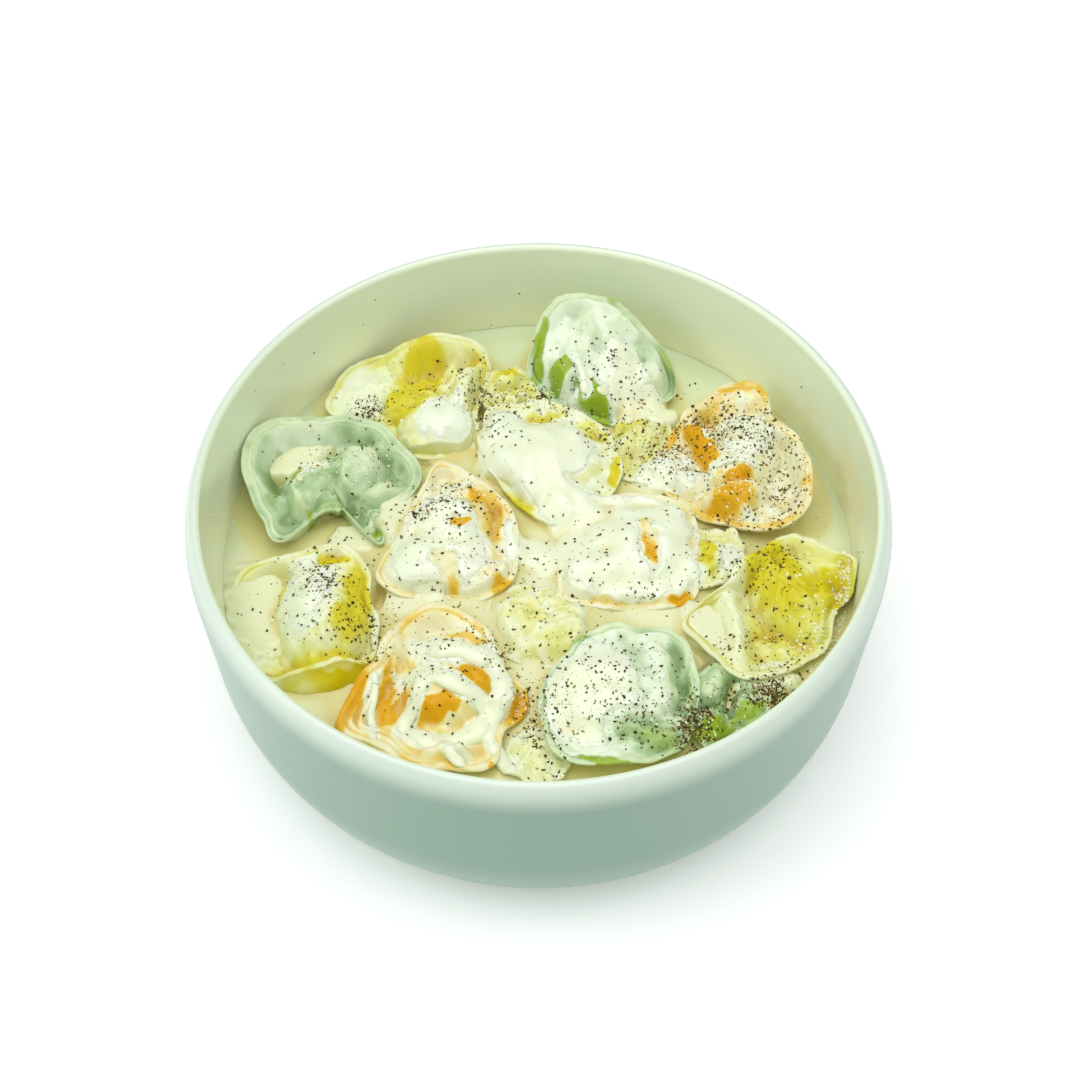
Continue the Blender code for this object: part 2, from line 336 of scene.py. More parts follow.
def innerRadius(height):
    cornerRadius, cornerHeight = bowl["corner"]
    lean = (bowlRadius - bowl["wall"] - cornerRadius) / (bowlHeight - cornerHeight)
    return cornerRadius + lean * (height - cornerHeight)


def turnUp(rings, segments):
    # a disc whose rim is pulled from ring to ring, as on a potter's wheel
    radius, height = rings[0]
    bpy.ops.mesh.primitive_circle_add(vertices=segments, radius=radius * mm, fill_type="TRIFAN",
                                      location=(0, 0, height * mm))
    obj = bpy.context.object
    bpy.ops.object.transform_apply(location=True, rotation=True, scale=True)
    points = pointsOf(obj)
    pickRim(obj, np.hypot(points[:, 0], points[:, 1]) > 0.5 * radius)
    for nextRadius, nextHeight in rings[1:]:
        pullRim(nextHeight - height, nextRadius / radius, nextHeight)
        radius, height = nextRadius, nextHeight
    return obj


def makeBowl():
    foot, waist, corner = bowl["foot"], bowl["waist"], bowl["corner"]
    footInside = foot - bowl["footRing"]
    lipStart = (bowlRadius, bowlHeight - bowl["lipDrop"])
    lipTop = (bowlRadius - bowl["lipTop"], bowlHeight)
    lipEnd = (bowlRadius - bowl["wall"], bowlHeight - bowl["lipInside"])
    # the foot ring, the belly, the lip, the inside wall and the floor
    rings = [(footInside - bowl["footRecess"], bowl["footRecess"]), (footInside, 0.2),
             (footInside + 0.6, 0.0), (foot - 1.5, 0.0)]
    rings += quarterArc(rings[-1], (waist[0] - 2.0, 4.0), waist, 26)
    rings += [(waist[0] + (lipStart[0] - waist[0]) * t, waist[1] + (lipStart[1] - waist[1]) * t)
              for t in (0.2, 0.4, 0.6, 0.8, 0.93, 1.0)]
    rings += quarterArc(lipStart, (bowlRadius, bowlHeight), lipTop, 12)
    rings += quarterArc(lipTop, (bowlRadius - bowl["wall"], bowlHeight), lipEnd, 8)
    rings += [(innerRadius(height), height) for height in (62.0, 56.0, 50.0, 44.0, 39.0, corner[1])]
    rings += quarterArc(corner, (corner[0], bowl["floor"]), (bowl["floorRadius"], bowl["floor"]), 14)
    rings += [(20.0, bowl["floor"]), (0.5, bowl["floor"])]
    obj = turnUp(rings, bowl["segments"])
    bpy.ops.mesh.merge(type="CENTER")
    endEdit()
    # inside: 1 where the surface faces up or towards the middle, which sets the painted light inside apart
    # from the painted shade outside
    points, normals = pointsOf(obj), vectorsOf(obj, "normal")
    fromMiddle = np.maximum(np.hypot(points[:, 0], points[:, 1]), 1e-6)
    outward = np.sum(points[:, :2] * normals[:, :2], axis=1) / fromMiddle
    paintPoints(obj, "inside", smooth((normals[:, 2] - outward + 0.6) / 0.6))
    return obj


def glazeFinish():
    glaze = Finish("bowlGlaze", {"Roughness": 0.34, "Coat Weight": 0.20, "Coat Roughness": 0.12, "IOR": 1.5})
    cloud = glaze.noise(14.0, 2.0)
    speck = glaze.steps(glaze.noise(900.0, 1.0), 0.76, 0.80)
    across, deep, high = glaze.along("x"), glaze.along("y"), glaze.along("z")
    reach = (across * across + deep * deep) ** 0.5
    turned = glaze.painted("inside")
    # painted light: inside the lip the glaze is tinted lighter than the rim
    inside = turned * (1 - glaze.steps(reach, 0.0788, 0.0800))
    tint = glaze.blend(cloud * 0.5, *bowl["rim"])
    tint = glaze.blend(inside, tint, glaze.blend(cloud * 0.5, *bowl["inside"]))
    # painted shade: down the lip and over the belly, the outside darkens to the belly tint
    outside = (1 - turned) * (1 - glaze.steps(high, 0.057, 0.0665))
    tint = glaze.blend(outside, tint, bowl["belly"])
    # inside, a thin wash of sauce warms the wall towards the food, together with painted bounce light from
    # the food that lightens the wall
    wash = inside * (1 - glaze.steps(high + cloud * 0.010, 0.042, 0.062))
    tint = glaze.blend(wash * 0.85, tint, bowl["wash"])
    # and the right wall is smeared
    streaks = glaze.steps(glaze.noise(60.0, 4.0) + 0.16, 0.55, 0.66)
    smear = inside * glaze.steps(across, 0.064, 0.072) * streaks
    smear = smear * (1 - glaze.steps(high, 0.052, 0.060)) * glaze.steps(deep, -0.004, 0.006)
    tint = glaze.blend(smear * 0.7, tint, bowl["smear"])
    glaze.give("Base Color", glaze.blend(speck * 0.30, tint, bowl["speck"]))
    glaze.give("Roughness", 0.26 + 0.10 * cloud + 0.1 * smear)
    glaze.relief(glaze.noise(45.0, 3.0) + 0.1 * glaze.noise(700.0, 1.0), 0.0004, 0.25)
    return glaze


settle(makeBowl(), "glazedBowl", "glaze", glazeFinish(), "bowl")
print("bowl turned")


cream = {
    "cells": 308,
    "gap": -0.05,           # the cream wets the wall
    "edgeLevel": 38.7, "middleLevel": 42.2, "middleRadius": 30.0, "edgeRadius": 66.0,
    "hidden": 1.2,          # how far the sheet runs under bare dough
    "bottom": 34.0,         # taken where no dumpling lies below
    "climb": (1.7, 2.4),    # how high the cream creeps up the wall, and from how far in
    "lip": (0.3, 0.9),      # share of a coat's thickness that is its steep edge, and how wide that is
    "bridging": 18,         # how far thick cream spans the gaps below it, in passes over the grid
    "softening": (3, 16),   # passes that soften the sheet and the thick coats
    "body": ((-5, 0.995), (-18, 0.9)),   # the hidden body below: each fall and what it narrows to
    # still cream in hollows: an oval and its level
    "pools": [((-60.5, 28.5, 10, 6.5, 40), 44.6), ((41, -25, 10, 5.5, -60), 43.1),
              ((-66, -17, 8, 14, 10), 41.0), ((-45, 4, 6, 4, 0), 41.6), ((-33.5, 8.5, 5.4, 10.5, 14), 43.5),
              ((28, 42, 8, 5, 0), 43.4), ((52, -37, 8, 5, 30), 41.5), ((-46, 52, 4, 4, 0), 42.0)],
    # gaps between the dumplings that the cream leaves open
    "gaps": [((-15.5, 45.5, 2.0, 3.4, 10), 37.5), ((-38, -13, 1.6, 4.0, -8), 37.5),
             ((-33, -26, 1.5, 3.2, -30), 38.0), ((40.5, -37, 3.0, 5.0, 20), 38.0),
             ((-31, 27, 4.0, 1.6, 10), 39.5)],
    # thick cream on the dough: an oval and its thickness
    "coats": [((-1, 28, 16, 13, 20), 1.3), ((-10, 35, 7, 6, 0), 1.0), ((-24, -2, 12, 14, 0), 0.8),
              ((22, -3, 19, 14, 0), 1.2), ((21, 7, 15, 8, 0), 1.0), ((3, 5, 14, 13, 0), 1.3),
              ((-23.2, 37, 7.5, 6, 0), 0.8), ((-22.5, 44, 3, 4, 0), 0.6), ((24, 47, 12, 6, -20), 0.8),
              ((21, 53, 7, 6, 0), 0.5), ((52, 30, 8, 7, 60), 0.6), ((33, 21, 10, 5, 10), 1.0),
              ((-58.5, 22.5, 6.5, 4.5, 40), 0.4), ((-55, -16, 7, 12, 0), 0.5), ((12, -44, 12, 14, -8), 0.6),
              ((46, -4, 6, 4, 0), 0.5), ((-19, -31.5, 11, 5.5, -10), 0.9)],
    # strands that run over the dough: a route, half width and thickness
    "strands": [([(-31, -38.5), (-25.5, -38), (-20.5, -40.8), (-15.5, -44.2), (-9.4, -46.6)], 2.3, 1.4),
                ([(-30.5, -51), (-28, -53.2), (-23, -55), (-16.4, -53.4), (-11.6, -49.3), (-8.2, -44.2),
                  (-7.8, -38.4), (-11.5, -34.4), (-18.4, -32.2), (-26, -33)], 2.6, 1.7),
                ([(-24, -37.5), (-26, -41), (-28, -45.2), (-30, -49.3), (-31.5, -52)], 1.9, 1.3),
                ([(-10, -46), (-11.5, -53), (-8.5, -59), (-5, -62)], 1.8, 1.1),
                ([(-24, -53), (-20.5, -57), (-16.5, -61)], 1.6, 0.9),
                ([(-37, -38), (-39, -46), (-36.5, -55)], 1.1, 0.6),
                ([(43, 21.5), (48.5, 22.2), (54, 21)], 0.9, 0.8),
                ([(8.5, 56), (11.5, 51), (12.5, 46)], 1.1, 0.9)],
    # colours of still, thick and thin cream, of its edge by the wall, and of its relief; thin cream and the
    # edge are toned down as painted shade to meet the shaded wall, valley and crevice are painted shade, and
    # crest is a painted highlight
    "still": (227, 231, 192), "thick": (232, 239, 210), "thin": (203, 217, 178), "edge": (190, 205, 157),
    "cloud": (235, 233, 194), "valley": (210, 202, 130), "creviceShade": (216, 200, 124), "crestHighlight": (238, 246, 230),
}


def coatThickness(inward, rest, width):
    # a steep edge first and then a slow rise
    share, edgeWidth = cream["lip"]
    return share * smooth(inward / edgeWidth) + rest * smooth(inward / width)


def coatOver(x, y):
    # how far inside the nearest coat in mm (below 0 outside) and the coat's thickness
    inward = np.full_like(x, -9.0)
    thick = np.zeros_like(x)
    for oval, depth in cream["coats"]:
        inside = (1.0 - ovalDistance(x, y, oval)) * min(oval[2], oval[3])
        inward = np.maximum(inward, inside)
        thick = np.maximum(thick, depth * coatThickness(inside, 0.7, 5.0))
    return inward, thick


def besideStrands(x, y):
    # how far inside the nearest strand in mm, below 0 outside
    inward = np.full_like(x, -9.0)
    for route, halfWidth, _ in cream["strands"]:
        distance, _ = lineDistance(x, y, rounded(route))
        inward = np.maximum(inward, halfWidth - distance)
    return inward


def creamOver(x, y):
    # the coats with the bare places cut out
    wanderX, wanderY = wander(x, y)
    inward, thick = coatOver(wanderX, wanderY)
    for piece in dumplings:
        for oval, goal, softness in piece["paint"]:
            if goal < 0.5:
                away = (ovalDistance(wanderX, wanderY, oval) - 1.0 - 0.4 * softness) * min(oval[2], oval[3])
                inward = np.minimum(inward, away)
                thick = np.minimum(thick, coatThickness(away, 0.6, 3.0))
    return inward, thick


doughs = {
    "yellow": {
        "slot": "yellow_dough", "shade": (196, 174, 62), "ridgeHighlight": (232, 236, 206),
        "stops": [(0.0, (208, 192, 6)), (0.25, (212, 202, 46)), (0.5, (219, 217, 108)),
                  (0.75, (227, 229, 164)), (1.0, (233, 240, 214))],
    },
    "green": {
        "slot": "green_dough", "shade": (114, 140, 80), "ridgeHighlight": (222, 234, 196),
        "stops": [(0.0, (150, 176, 40)), (0.25, (160, 186, 90)), (0.5, (160, 188, 136)),
                  (0.75, (192, 214, 172)), (1.0, (231, 240, 218))],
    },
    "orange": {
        "slot": "orange_dough", "shade": (218, 184, 108), "ridgeHighlight": (236, 236, 212),
        "stops": [(0.0, (218, 160, 0)), (0.25, (222, 174, 34)), (0.5, (229, 200, 96)),
                  (0.75, (233, 222, 160)), (1.0, (234, 239, 214))],
    },
}


def doughFinish(colour, facts):
    dough = Finish(colour + "Dough", {"Subsurface Weight": 0.25, "Subsurface Scale": 0.004,
                                      "Subsurface Radius": (1.0, 0.8, 0.4), "Coat Weight": 0.06,
                                      "Coat Roughness": 0.18, "Specular IOR Level": 0.24})
    film = dough.painted("film")
    dip = dough.painted("dip")
    patch = dough.noise(150.0, 3.0)
    mottle = dough.noise(420.0, 4.0, 0.6)
    fine = dough.noise(1600.0, 3.0)
    # a thin film breaks up in patches, a full one stays closed
    broken = film + (patch - 0.5) * (0.75 - 0.65 * film) + (mottle - 0.5) * 0.14 + (fine - 0.5) * 0.08
    tint = dough.ramp(broken, facts["stops"])
    # painted shade in the dips, weaker under a full film, then a painted highlight on the ridges
    shaded = (0.80 - 0.6 * dough.steps(film, 0.4, 0.95)) * dough.steps(dip, 0.05, 0.9)
    tint = dough.blend(shaded, tint, facts["shade"])
    raised = 0.55 * dough.steps(-1 * dip, 0.10, 0.9) * dough.steps(broken, 0.3, 0.6)
    dough.give("Base Color", dough.blend(raised, tint, facts["ridgeHighlight"]))
    dough.give("Roughness", 0.30 + 0.22 * mottle)
    dough.relief(mottle * 0.6 + fine * 0.4, 0.0005, 0.22)
    return dough


doughFinishes = {colour: doughFinish(colour, facts) for colour, facts in doughs.items()}

# middle: the point that the brim runs round.  floor: height of the hollow inside the brim.
# rise: how much the floor climbs towards the back.
# brim: direction from the middle in degrees, reach, height of the edge.
# lean, skirt: direction and how far the brim slopes inside and outside.
# split: depth of the groove along the edge.  thickness: of the brim.
# lumps: an oval and its height over the floor.  folds: a route, half width and height.
# film: how much cream clings, from 0 for bare dough to 1 for white.  edgeFilm: the same on the brim.
# paint: an oval, the film in it and how softly it fades.

yellowBack = {
    "node": "tortellino_yellow_back", "dough": "yellow", "middle": (-33, 47), "floor": 42.6,
    "brim": [(18, 21, 42), (29, 24, 44), (38, 24, 47), (49, 22, 49), (65, 19, 50), (83, 16.5, 49),
             (109, 15, 46), (133, 17.5, 44.5), (149, 19.5, 44), (166, 20.5, 43), (187, 21, 42),
             (209, 15, 41), (242, 13, 41.2), (265, 16.5, 41.3), (281, 19, 41.4), (300, 21, 41.6),
             (312, 23, 41.6), (325, 21.5, 42.0), (340, 19, 43)],
    "lean": [(0, 2), (30, 4), (60, 9.0), (110, 8), (150, 5), (190, 4), (230, 1.5), (265, 0.6), (320, 0.8)],
    "skirt": [(0, -1.6), (30, -3), (60, -7), (110, -6.4), (150, -4), (190, -3.2), (225, -1), (335, -0.8)],
    "lumps": [((-32, 45, 8, 6, 10), 3.6), ((-24.5, 38.5, 11.5, 10.0, 8), 6.0),
              ((-17.5, 49, 9, 4.6, 82), 6.0)],
    "folds": [([(-22.5, 58), (-21, 52), (-20.5, 45)], 1.7, 2.0),
              ([(-14.5, 54), (-15.5, 47), (-18, 41)], 1.2, -1.8),
              ([(-38, 57), (-38.5, 50), (-38, 42)], 1.6, 1.0)],
    "film": 0.74, "edgeFilm": 0.72,
    "paint": [((-45, 49, 8, 10, 0), 0.95, 0.6), ((-36, 42, 5, 4, 0), 0.5, 0.9),
              ((-31, 52, 12.0, 5.4, 70), 0.12, 0.6), ((-29, 58, 4.4, 4.0, 0), 0.10, 0.6),
              ((-34, 45, 5, 5, 0), 0.20, 0.8), ((-15.5, 57, 2.4, 3.4, 0), 0.52, 0.8),
              ((-26, 29, 13, 3.2, -4), 0.62, 0.9), ((-23, 36, 7, 5, 10), 0.98, 0.6),
              ((-38, 60, 6, 1.6, 22), 0.50, 0.8), ((-28.5, 65.2, 9, 2.4, 4), 0.74, 0.7)],
}
greenBack = {
    "node": "tortellino_green_back", "dough": "green", "middle": (16, 57), "floor": 49.2, "rise": 0.5,
    "brim": [(3, 16.6, 49), (18, 13.2, 53.5), (39, 11.2, 56), (71, 11.6, 57.5), (95, 13, 58),
             (114, 15.3, 58), (128, 16.5, 58), (141, 17, 57), (154, 17.4, 54), (166, 17.5, 50),
             (182, 18.5, 44), (210, 16.5, 42), (246, 16, 42), (279, 16.8, 42), (322, 18, 42),
             (346, 20.4, 43)],
    "lean": [(0, 4), (60, 2.6), (130, 3), (180, 3), (270, 2)],
    "lumps": [((17, 56, 13, 10, 95), 4.2), ((6.2, 51.5, 6.5, 4.0, 52), 4.2), ((14.5, 45, 7, 4.6, -52), 5),
              ((26, 49, 7, 5, 60), 2.5)],
    "folds": [([(17, 64), (15, 57), (13, 51)], 2.2, -0.9), ([(20, 62), (20, 55), (19, 48)], 2.0, 0.8),
              ([(24, 61), (25, 55), (25, 49)], 2.2, -0.9), ([(29, 62), (32, 56), (33, 50)], 0.9, 1.0),
              ([(10, 49), (12, 44), (9, 41)], 1.4, -1.4)],
    "film": 0.96, "edgeFilm": 0.66, "split": 0.6, "thickness": 1.9,
    # the narrow ovals at (13, 62), (20, 60) and (26.5, 57), with film 0.76 to 0.84, paint grey-green shade
    # along the folds
    "paint": [((15, 64, 15, 8, 0), 1.0, 0.8), ((13, 62, 2.2, 7, 24), 0.82, 1.4),
              ((20, 60, 2.2, 5, -16), 0.84, 1.4), ((26.5, 57, 2.0, 6, -14), 0.76, 1.2),
              ((0, 58, 8, 1.9, 78), 0.03, 0.4), ((6.3, 52.6, 4.6, 2.3, 48), 0.0, 0.4),
              ((14.3, 44.6, 6.2, 3.0, -55), 0.0, 0.4), ((27, 44, 6, 2.4, 10), 0.55, 0.8),
              ((33, 57, 1.6, 9, 6), 0.80, 0.9)],
}
orangeRight = {
    "node": "tortellino_orange_right", "dough": "orange", "middle": (48, 27), "floor": 44.4,
    "brim": [(1, 16.2, 51), (22, 13.5, 51), (49, 15, 51), (63, 19, 51), (73, 20.3, 51), (84, 20.2, 50),
             (93, 19.2, 50), (101, 18.2, 49.5), (117, 17.0, 48.5), (135, 16.8, 46.5), (155, 17.4, 44.5),
             (178, 19.0, 43), (215, 20.1, 42.5), (246, 20.1, 43), (273, 21.6, 44), (291, 24, 45),
             (303, 26, 47), (312, 26, 49), (323, 23.4, 50), (339, 19.6, 51)],
    "lean": [(10, 2.2), (60, 3.5), (120, 2), (230, 2), (300, 5), (330, 4)],
    "lumps": [((51, 28, 13, 10, 68), 7.0), ((49.5, 41, 7.5, 5, 8), 6.0), ((48, 13.5, 9, 4.6, 14), 5.5),
              ((41.5, 29, 10, 3.4, -68), 5.5), ((36, 18, 9, 4, 10), 3)],
    "folds": [([(46, 34), (45, 27), (48, 20)], 1.5, -1.5), ([(40, 18), (48, 17.5), (57, 18)], 1.4, -1.8),
              ([(58, 38), (62, 30), (66, 22), (66, 14)], 0.8, 1.0)],
    "film": 0.90, "edgeFilm": 0.56, "split": 0.6, "thickness": 2.0,
    "paint": [((51, 29, 8, 6, 60), 0.86, 0.8), ((58, 36, 8, 3, -60), 0.80, 0.9),
              ((50, 44.6, 6, 1.6, 4), 0.40, 0.9), ((66.5, 20, 12, 1.7, -76), 0.46, 0.8),
              ((62, 22, 11, 3.2, -78), 0.92, 0.8), ((40.4, 28, 8.2, 2.1, -66), 0.0, 0.5),
              ((49.2, 18.4, 3.6, 2.3, 10), 0.02, 0.6), ((46.2, 11.2, 6.8, 3.6, 20), 0.16, 0.8),
              ((44, 40, 5, 2.6, 20), 0.50, 1.0), ((67, 12, 2, 6, 10), 0.40, 0.9)],
}
greenLeft = {
    "node": "tortellino_green_left", "dough": "green", "middle": (-52, 19), "floor": 43.3,
    "brim": [(9, 23, 44), (18, 22.5, 45.5), (38, 21, 46.5), (65, 20, 47.5), (85, 19.3, 48.5),
             (104, 18.2, 49.5), (121, 19.3, 50.5), (141, 21.3, 51.5), (161, 21.2, 51.5), (181, 20.7, 50.5),
             (199, 19.3, 48.5), (220, 18.4, 46), (243, 20.1, 43.5), (250, 15.4, 44.0), (259, 11.4, 44.8),
             (274, 10.2, 46.0), (288, 10.3, 46.0), (299, 12.6, 44.8), (305.5, 22.6, 43.4),
             (310.5, 22.6, 43), (318, 17.0, 42.4), (338, 18.0, 41.9), (352, 21.4, 42.9)],
    "lean": [(0, 3), (60, 3.5), (110, 5.0), (160, 6.5), (210, 6), (245, 3.5), (280, 2.5), (320, 2)],
    "lumps": [((-53.6, 16.6, 10, 7, 38), 5.4), ((-45, 22.5, 9, 7, 62), 5.8), ((-39.5, 16, 5, 3, 10), 3.4)],
    "folds": [([(-57, 7.5), (-61.5, 10), (-64, 16), (-64, 21), (-61.5, 26), (-56, 29.5),
                (-49, 30.5)], 1.4, -1.9),
              ([(-56, 9), (-59.5, 12.5), (-61.3, 18), (-59, 23), (-54.5, 25.5)], 1.2, 1.4),
              ([(-54, 10.5), (-49, 11.5), (-45, 10)], 1.8, -2.6),
              ([(-50, 26), (-50, 19), (-47, 13)], 1.2, -1.6),
              ([(-39, 30), (-38, 24), (-40, 18)], 1.3, -1.9),
              ([(-66, 24), (-62, 29), (-55, 32.5)], 0.8, 1.0),
              ([(-42, 10), (-40.6, 6), (-39, 1)], 1.8, 2.4)],
    "film": 0.66, "edgeFilm": 0.76, "split": 1.1, "thickness": 2.6,
    "paint": [((-60, 29, 9, 6, 35), 0.93, 0.7), ((-62, 14, 3, 7, 10), 0.70, 0.8),
              ((-44, 24.5, 6.5, 5.5, 60), 0.82, 0.9), ((-53, 17, 6, 4.5, 30), 0.60, 0.9),
              # the narrow oval at (-65, 18) paints grey-green shade into the groove along the left brim
              ((-65, 18, 1.3, 8, 0), 0.40, 0.9), ((-50, 10.5, 6, 1.6, 0), 0.40, 0.8),
              ((-55.8, 8.2, 1.0, 1.6, 10), 0.0, 0.3), ((-38.2, 4.2, 1.1, 2.2, -30), 0.10, 0.6),
              ((-60, 21.4, 2.8, 0.7, 38), 0.05, 0.4), ((-69, 8, 1.3, 6, 16), 0.42, 0.9),
              ((-58, 37, 12, 2.0, 12), 0.44, 0.8), ((-38, 29, 3, 7, 40), 0.60, 0.8)],
}
yellowMiddle = {
    "node": "tortellino_yellow_middle", "dough": "yellow", "middle": (2, 24), "floor": 44.6,
    "brim": [(27, 18.7, 46), (53, 18.9, 46), (77, 19.4, 46), (105, 20.4, 45.5), (128, 24, 44.5),
             (144, 20.7, 45), (178, 15, 44), (228, 13.5, 44), (263, 16.5, 44), (288, 19.1, 44),
             (302, 20, 44), (332, 18.4, 44), (359, 19, 45)],
    "lean": [(0, 2), (120, 2.5), (240, 1.5)],
    "lumps": [((1, 25, 16, 12, 25), 5.0), ((-9, 34, 9, 7, -30), 3.6), ((7, 14, 9, 7, -40), 3.0)],
    "folds": [([(2, 20), (8, 11), (13, 7)], 1.0, -1.0), ([(-14, 28), (-9, 22), (-4, 15)], 1.2, -1.0)],
    "film": 0.90, "edgeFilm": 0.85,
    "paint": [((-6, 11.5, 8.0, 2.6, -48), 0.10, 0.9), ((18.8, 21.5, 1.4, 5.0, -6), 0.10, 0.6),
              ((2, 40, 4.6, 1.6, 5), 0.25, 0.9), ((14, 34, 5, 2.4, -30), 0.45, 0.8)],
}
orangeMiddleLeft = {
    "node": "tortellino_orange_middle_left", "dough": "orange", "middle": (-20, 2), "floor": 44.2,
    "brim": [(16, 15.1, 45), (48, 16, 46), (72, 17, 47.5), (93, 20.0, 47.0), (103, 21.6, 47.0),
             (117, 17.4, 46.2), (150, 13.5, 45.5), (193, 16.5, 44), (211, 22, 43), (225, 21.5, 42.5),
             (251, 17.3, 42.5), (278, 18.6, 42.5), (297, 19, 42.5), (318, 18.6, 43), (345, 15.8, 44)],
    "lean": [(0, 2), (90, 2.5), (200, 2.5), (270, 1.5)],
    "lumps": [((-20, 8, 12, 9, 75), 4.8), ((-23, -5, 13, 9, 15), 3.6), ((-10, -10, 8, 5, -10), 2.4)],
    "folds": [([(-12, 16), (-10.5, 9), (-11, 1)], 1.0, -1.2), ([(-30, 4), (-24, 0), (-16, -1)], 1.6, -0.9),
              ([(-21, -8), (-19, -13), (-17, -18)], 1.4, -1.2)],
    "film": 0.88, "edgeFilm": 0.74,
    "paint": [((-13.5, 10, 6, 5, -50), 0.66, 1.0), ((-15.0, 12.5, 2.8, 1.7, -40), 0.22, 1.0),
              ((-11.0, 6.0, 1.7, 7.0, 4), 0.42, 1.2), ((-24, 23, 4, 4, 0), 0.97, 0.8),
              ((-19, 4, 1.9, 1.3, 0), 0.05, 0.5), ((-22.4, -6, 2.4, 1.6, 20), 0.05, 0.5),
              ((-20.6, -11, 1.4, 4.6, 12), 0.28, 0.9), ((-7.5, -12.5, 4.0, 2.2, -24), 0.28, 0.8),
              ((-29, -17.5, 8, 1.0, -8), 0.26, 0.8), ((-17.5, -18.5, 1.9, 1.1, 0), 0.05, 0.5),
              ((-25, -6, 8, 7, 0), 0.86, 0.8)],
}
orangeMiddleRight = {
    "node": "tortellino_orange_middle_right", "dough": "orange", "middle": (22, -4), "floor": 44.2,
    "brim": [(31, 19.6, 45), (57, 21.5, 45), (82, 19.1, 45), (107, 19, 45), (118, 18.3, 45),
             (151, 16.2, 44), (186, 17.7, 43), (211, 19.3, 43), (231, 16, 42.5), (269, 14.5, 42),
             (305, 16, 42), (326, 18.3, 43), (358, 16.5, 45)],
    "lean": [(0, 2), (120, 2), (240, 1.5)],
    "lumps": [((25, -1, 14, 11, 15), 4.6), ((12, -8, 10, 7, 25), 2.8), ((34, 6, 8, 7, 40), 2.8)],
    "folds": [([(14, 8), (17, 0), (15, -8)], 1.8, -0.8), ([(33, 2), (34, -6), (31, -13)], 1.8, -0.9)],
    "film": 0.90, "edgeFilm": 0.86,
    "paint": [((26.5, -3.0, 1.8, 4.8, 8), 0.02, 0.5), ((25.6, 3.4, 1.2, 1.4, 0), 0.12, 0.6),
              ((34, -15.6, 3.6, 1.8, 12), 0.03, 0.5), ((1.5, -16, 5, 1.3, 22), 0.22, 0.8),
              ((20, -16, 9, 1.6, 0), 0.60, 0.8), ((32, 2, 7, 6, 0), 0.84, 0.8)],
}
yellowRight = {
    "node": "tortellino_yellow_right", "dough": "yellow", "middle": (58, -14), "floor": 41.5,
    "brim": [(13, 18.3, 46), (21, 19, 47), (33, 17, 48), (51, 14, 49), (79, 13, 49), (104, 10.7, 49.5),
             (140, 10, 49.5), (166, 12.8, 48), (180, 14.5, 46.5), (190, 20.5, 44), (200, 26, 43.5),
             (215, 25.4, 43.5), (228, 25.8, 43.5), (239, 26.9, 43.5), (247, 26.5, 43.5), (257, 24.5, 43),
             (270, 22, 42.5), (283, 19.6, 42), (297, 18, 42), (321, 14, 43), (350, 15, 44.5)],
    "lean": [(20, 2.5), (90, 3), (150, 3), (190, 2.5), (240, 3.5), (300, 2)],
    "lumps": [((68, -8, 8, 5, -25), 5.6), ((60, -14, 15, 9.5, -58), 7.5), ((66, -19, 8, 6, 60), 4.0)],
    "folds": [([(52, -3), (46, -8), (44.6, -15), (46.2, -23), (46.6, -30), (45.5, -36)], 2.6, 4.4),
              ([(54, -12), (53, -20), (55, -27)], 1.6, -1.2),
              ([(66, -8), (64, -16), (66, -23)], 1.2, -0.8)],
    "film": 0.66, "edgeFilm": 0.74,
    "paint": [((66, -4, 8, 3.4, -20), 0.60, 0.8), ((73, -12, 2.4, 6, 8), 0.30, 0.8),
              ((54.5, -9, 6.5, 6.0, -30), 0.10, 0.5), ((60, -17, 9, 6.5, -50), 0.16, 0.6),
              ((69, -14.5, 4.6, 5.4, 10), 0.03, 0.5), ((59, -26, 8.5, 4.6, -14), 0.44, 0.9),
              ((63, -21, 6, 2, 30), 0.36, 1.0), ((45.8, -20, 3.6, 15, -4), 0.84, 0.7),
              ((52, -35, 10, 2.4, 6), 0.82, 0.8)],
}
yellowLeft = {
    "node": "tortellino_yellow_left", "dough": "yellow", "middle": (-51, -18), "floor": 40.2,
    "brim": [(15, 12.5, 43.5), (47, 14.5, 45), (74, 16.6, 46.5), (96, 15.8, 47), (118, 16.8, 45.5),
             (141, 20.4, 43.5), (151, 23, 42.5), (162, 24, 41.5), (176, 22.7, 40), (206, 19.5, 39.3),
             (240, 23, 41), (255, 20.5, 43.5), (272, 17.2, 45), (289, 17, 45), (303, 20.5, 43.5),
             (330, 15.4, 42.5)],
    "lean": [(15, 1.5), (80, 2.0), (130, 3), (170, 4), (240, 2), (275, 1.2), (330, 1.5)],
    "skirt": [(225, -1.5), (246, 1.2), (262, 3.2), (285, 3.9), (305, 2.2), (325, -1.0)],
    "lumps": [((-50.5, -19, 17, 11.5, 96), 9), ((-45, -8, 9, 7, -30), 6.0)],
    "folds": [([(-60, -33), (-52, -31), (-42, -31)], 1.8, -1.6)],
    "film": 0.82, "edgeFilm": 0.76,
    "paint": [((-49, -6, 3.6, 1.9, 0), 0.05, 0.6), ((-42.5, -16, 2.8, 8.5, 4), 0.12, 1.0),
              ((-44.5, -24, 4.5, 5, 0), 0.24, 1.2), ((-50, -34, 11, 3.0, 6), 0.14, 1.2),
              ((-61, -13, 1.2, 3.0, 0), 0.34, 0.9), ((-47.5, -39.5, 13.5, 5.2, 17), 0.12, 0.8),
              ((-56.5, -41, 7.0, 4, 20), 0.46, 1.0), ((-44, -40.5, 7, 2.0, 17), 0.05, 0.9),
              ((-47.5, -34.8, 9, 0.9, 12), 0.6, 0.8)],
}
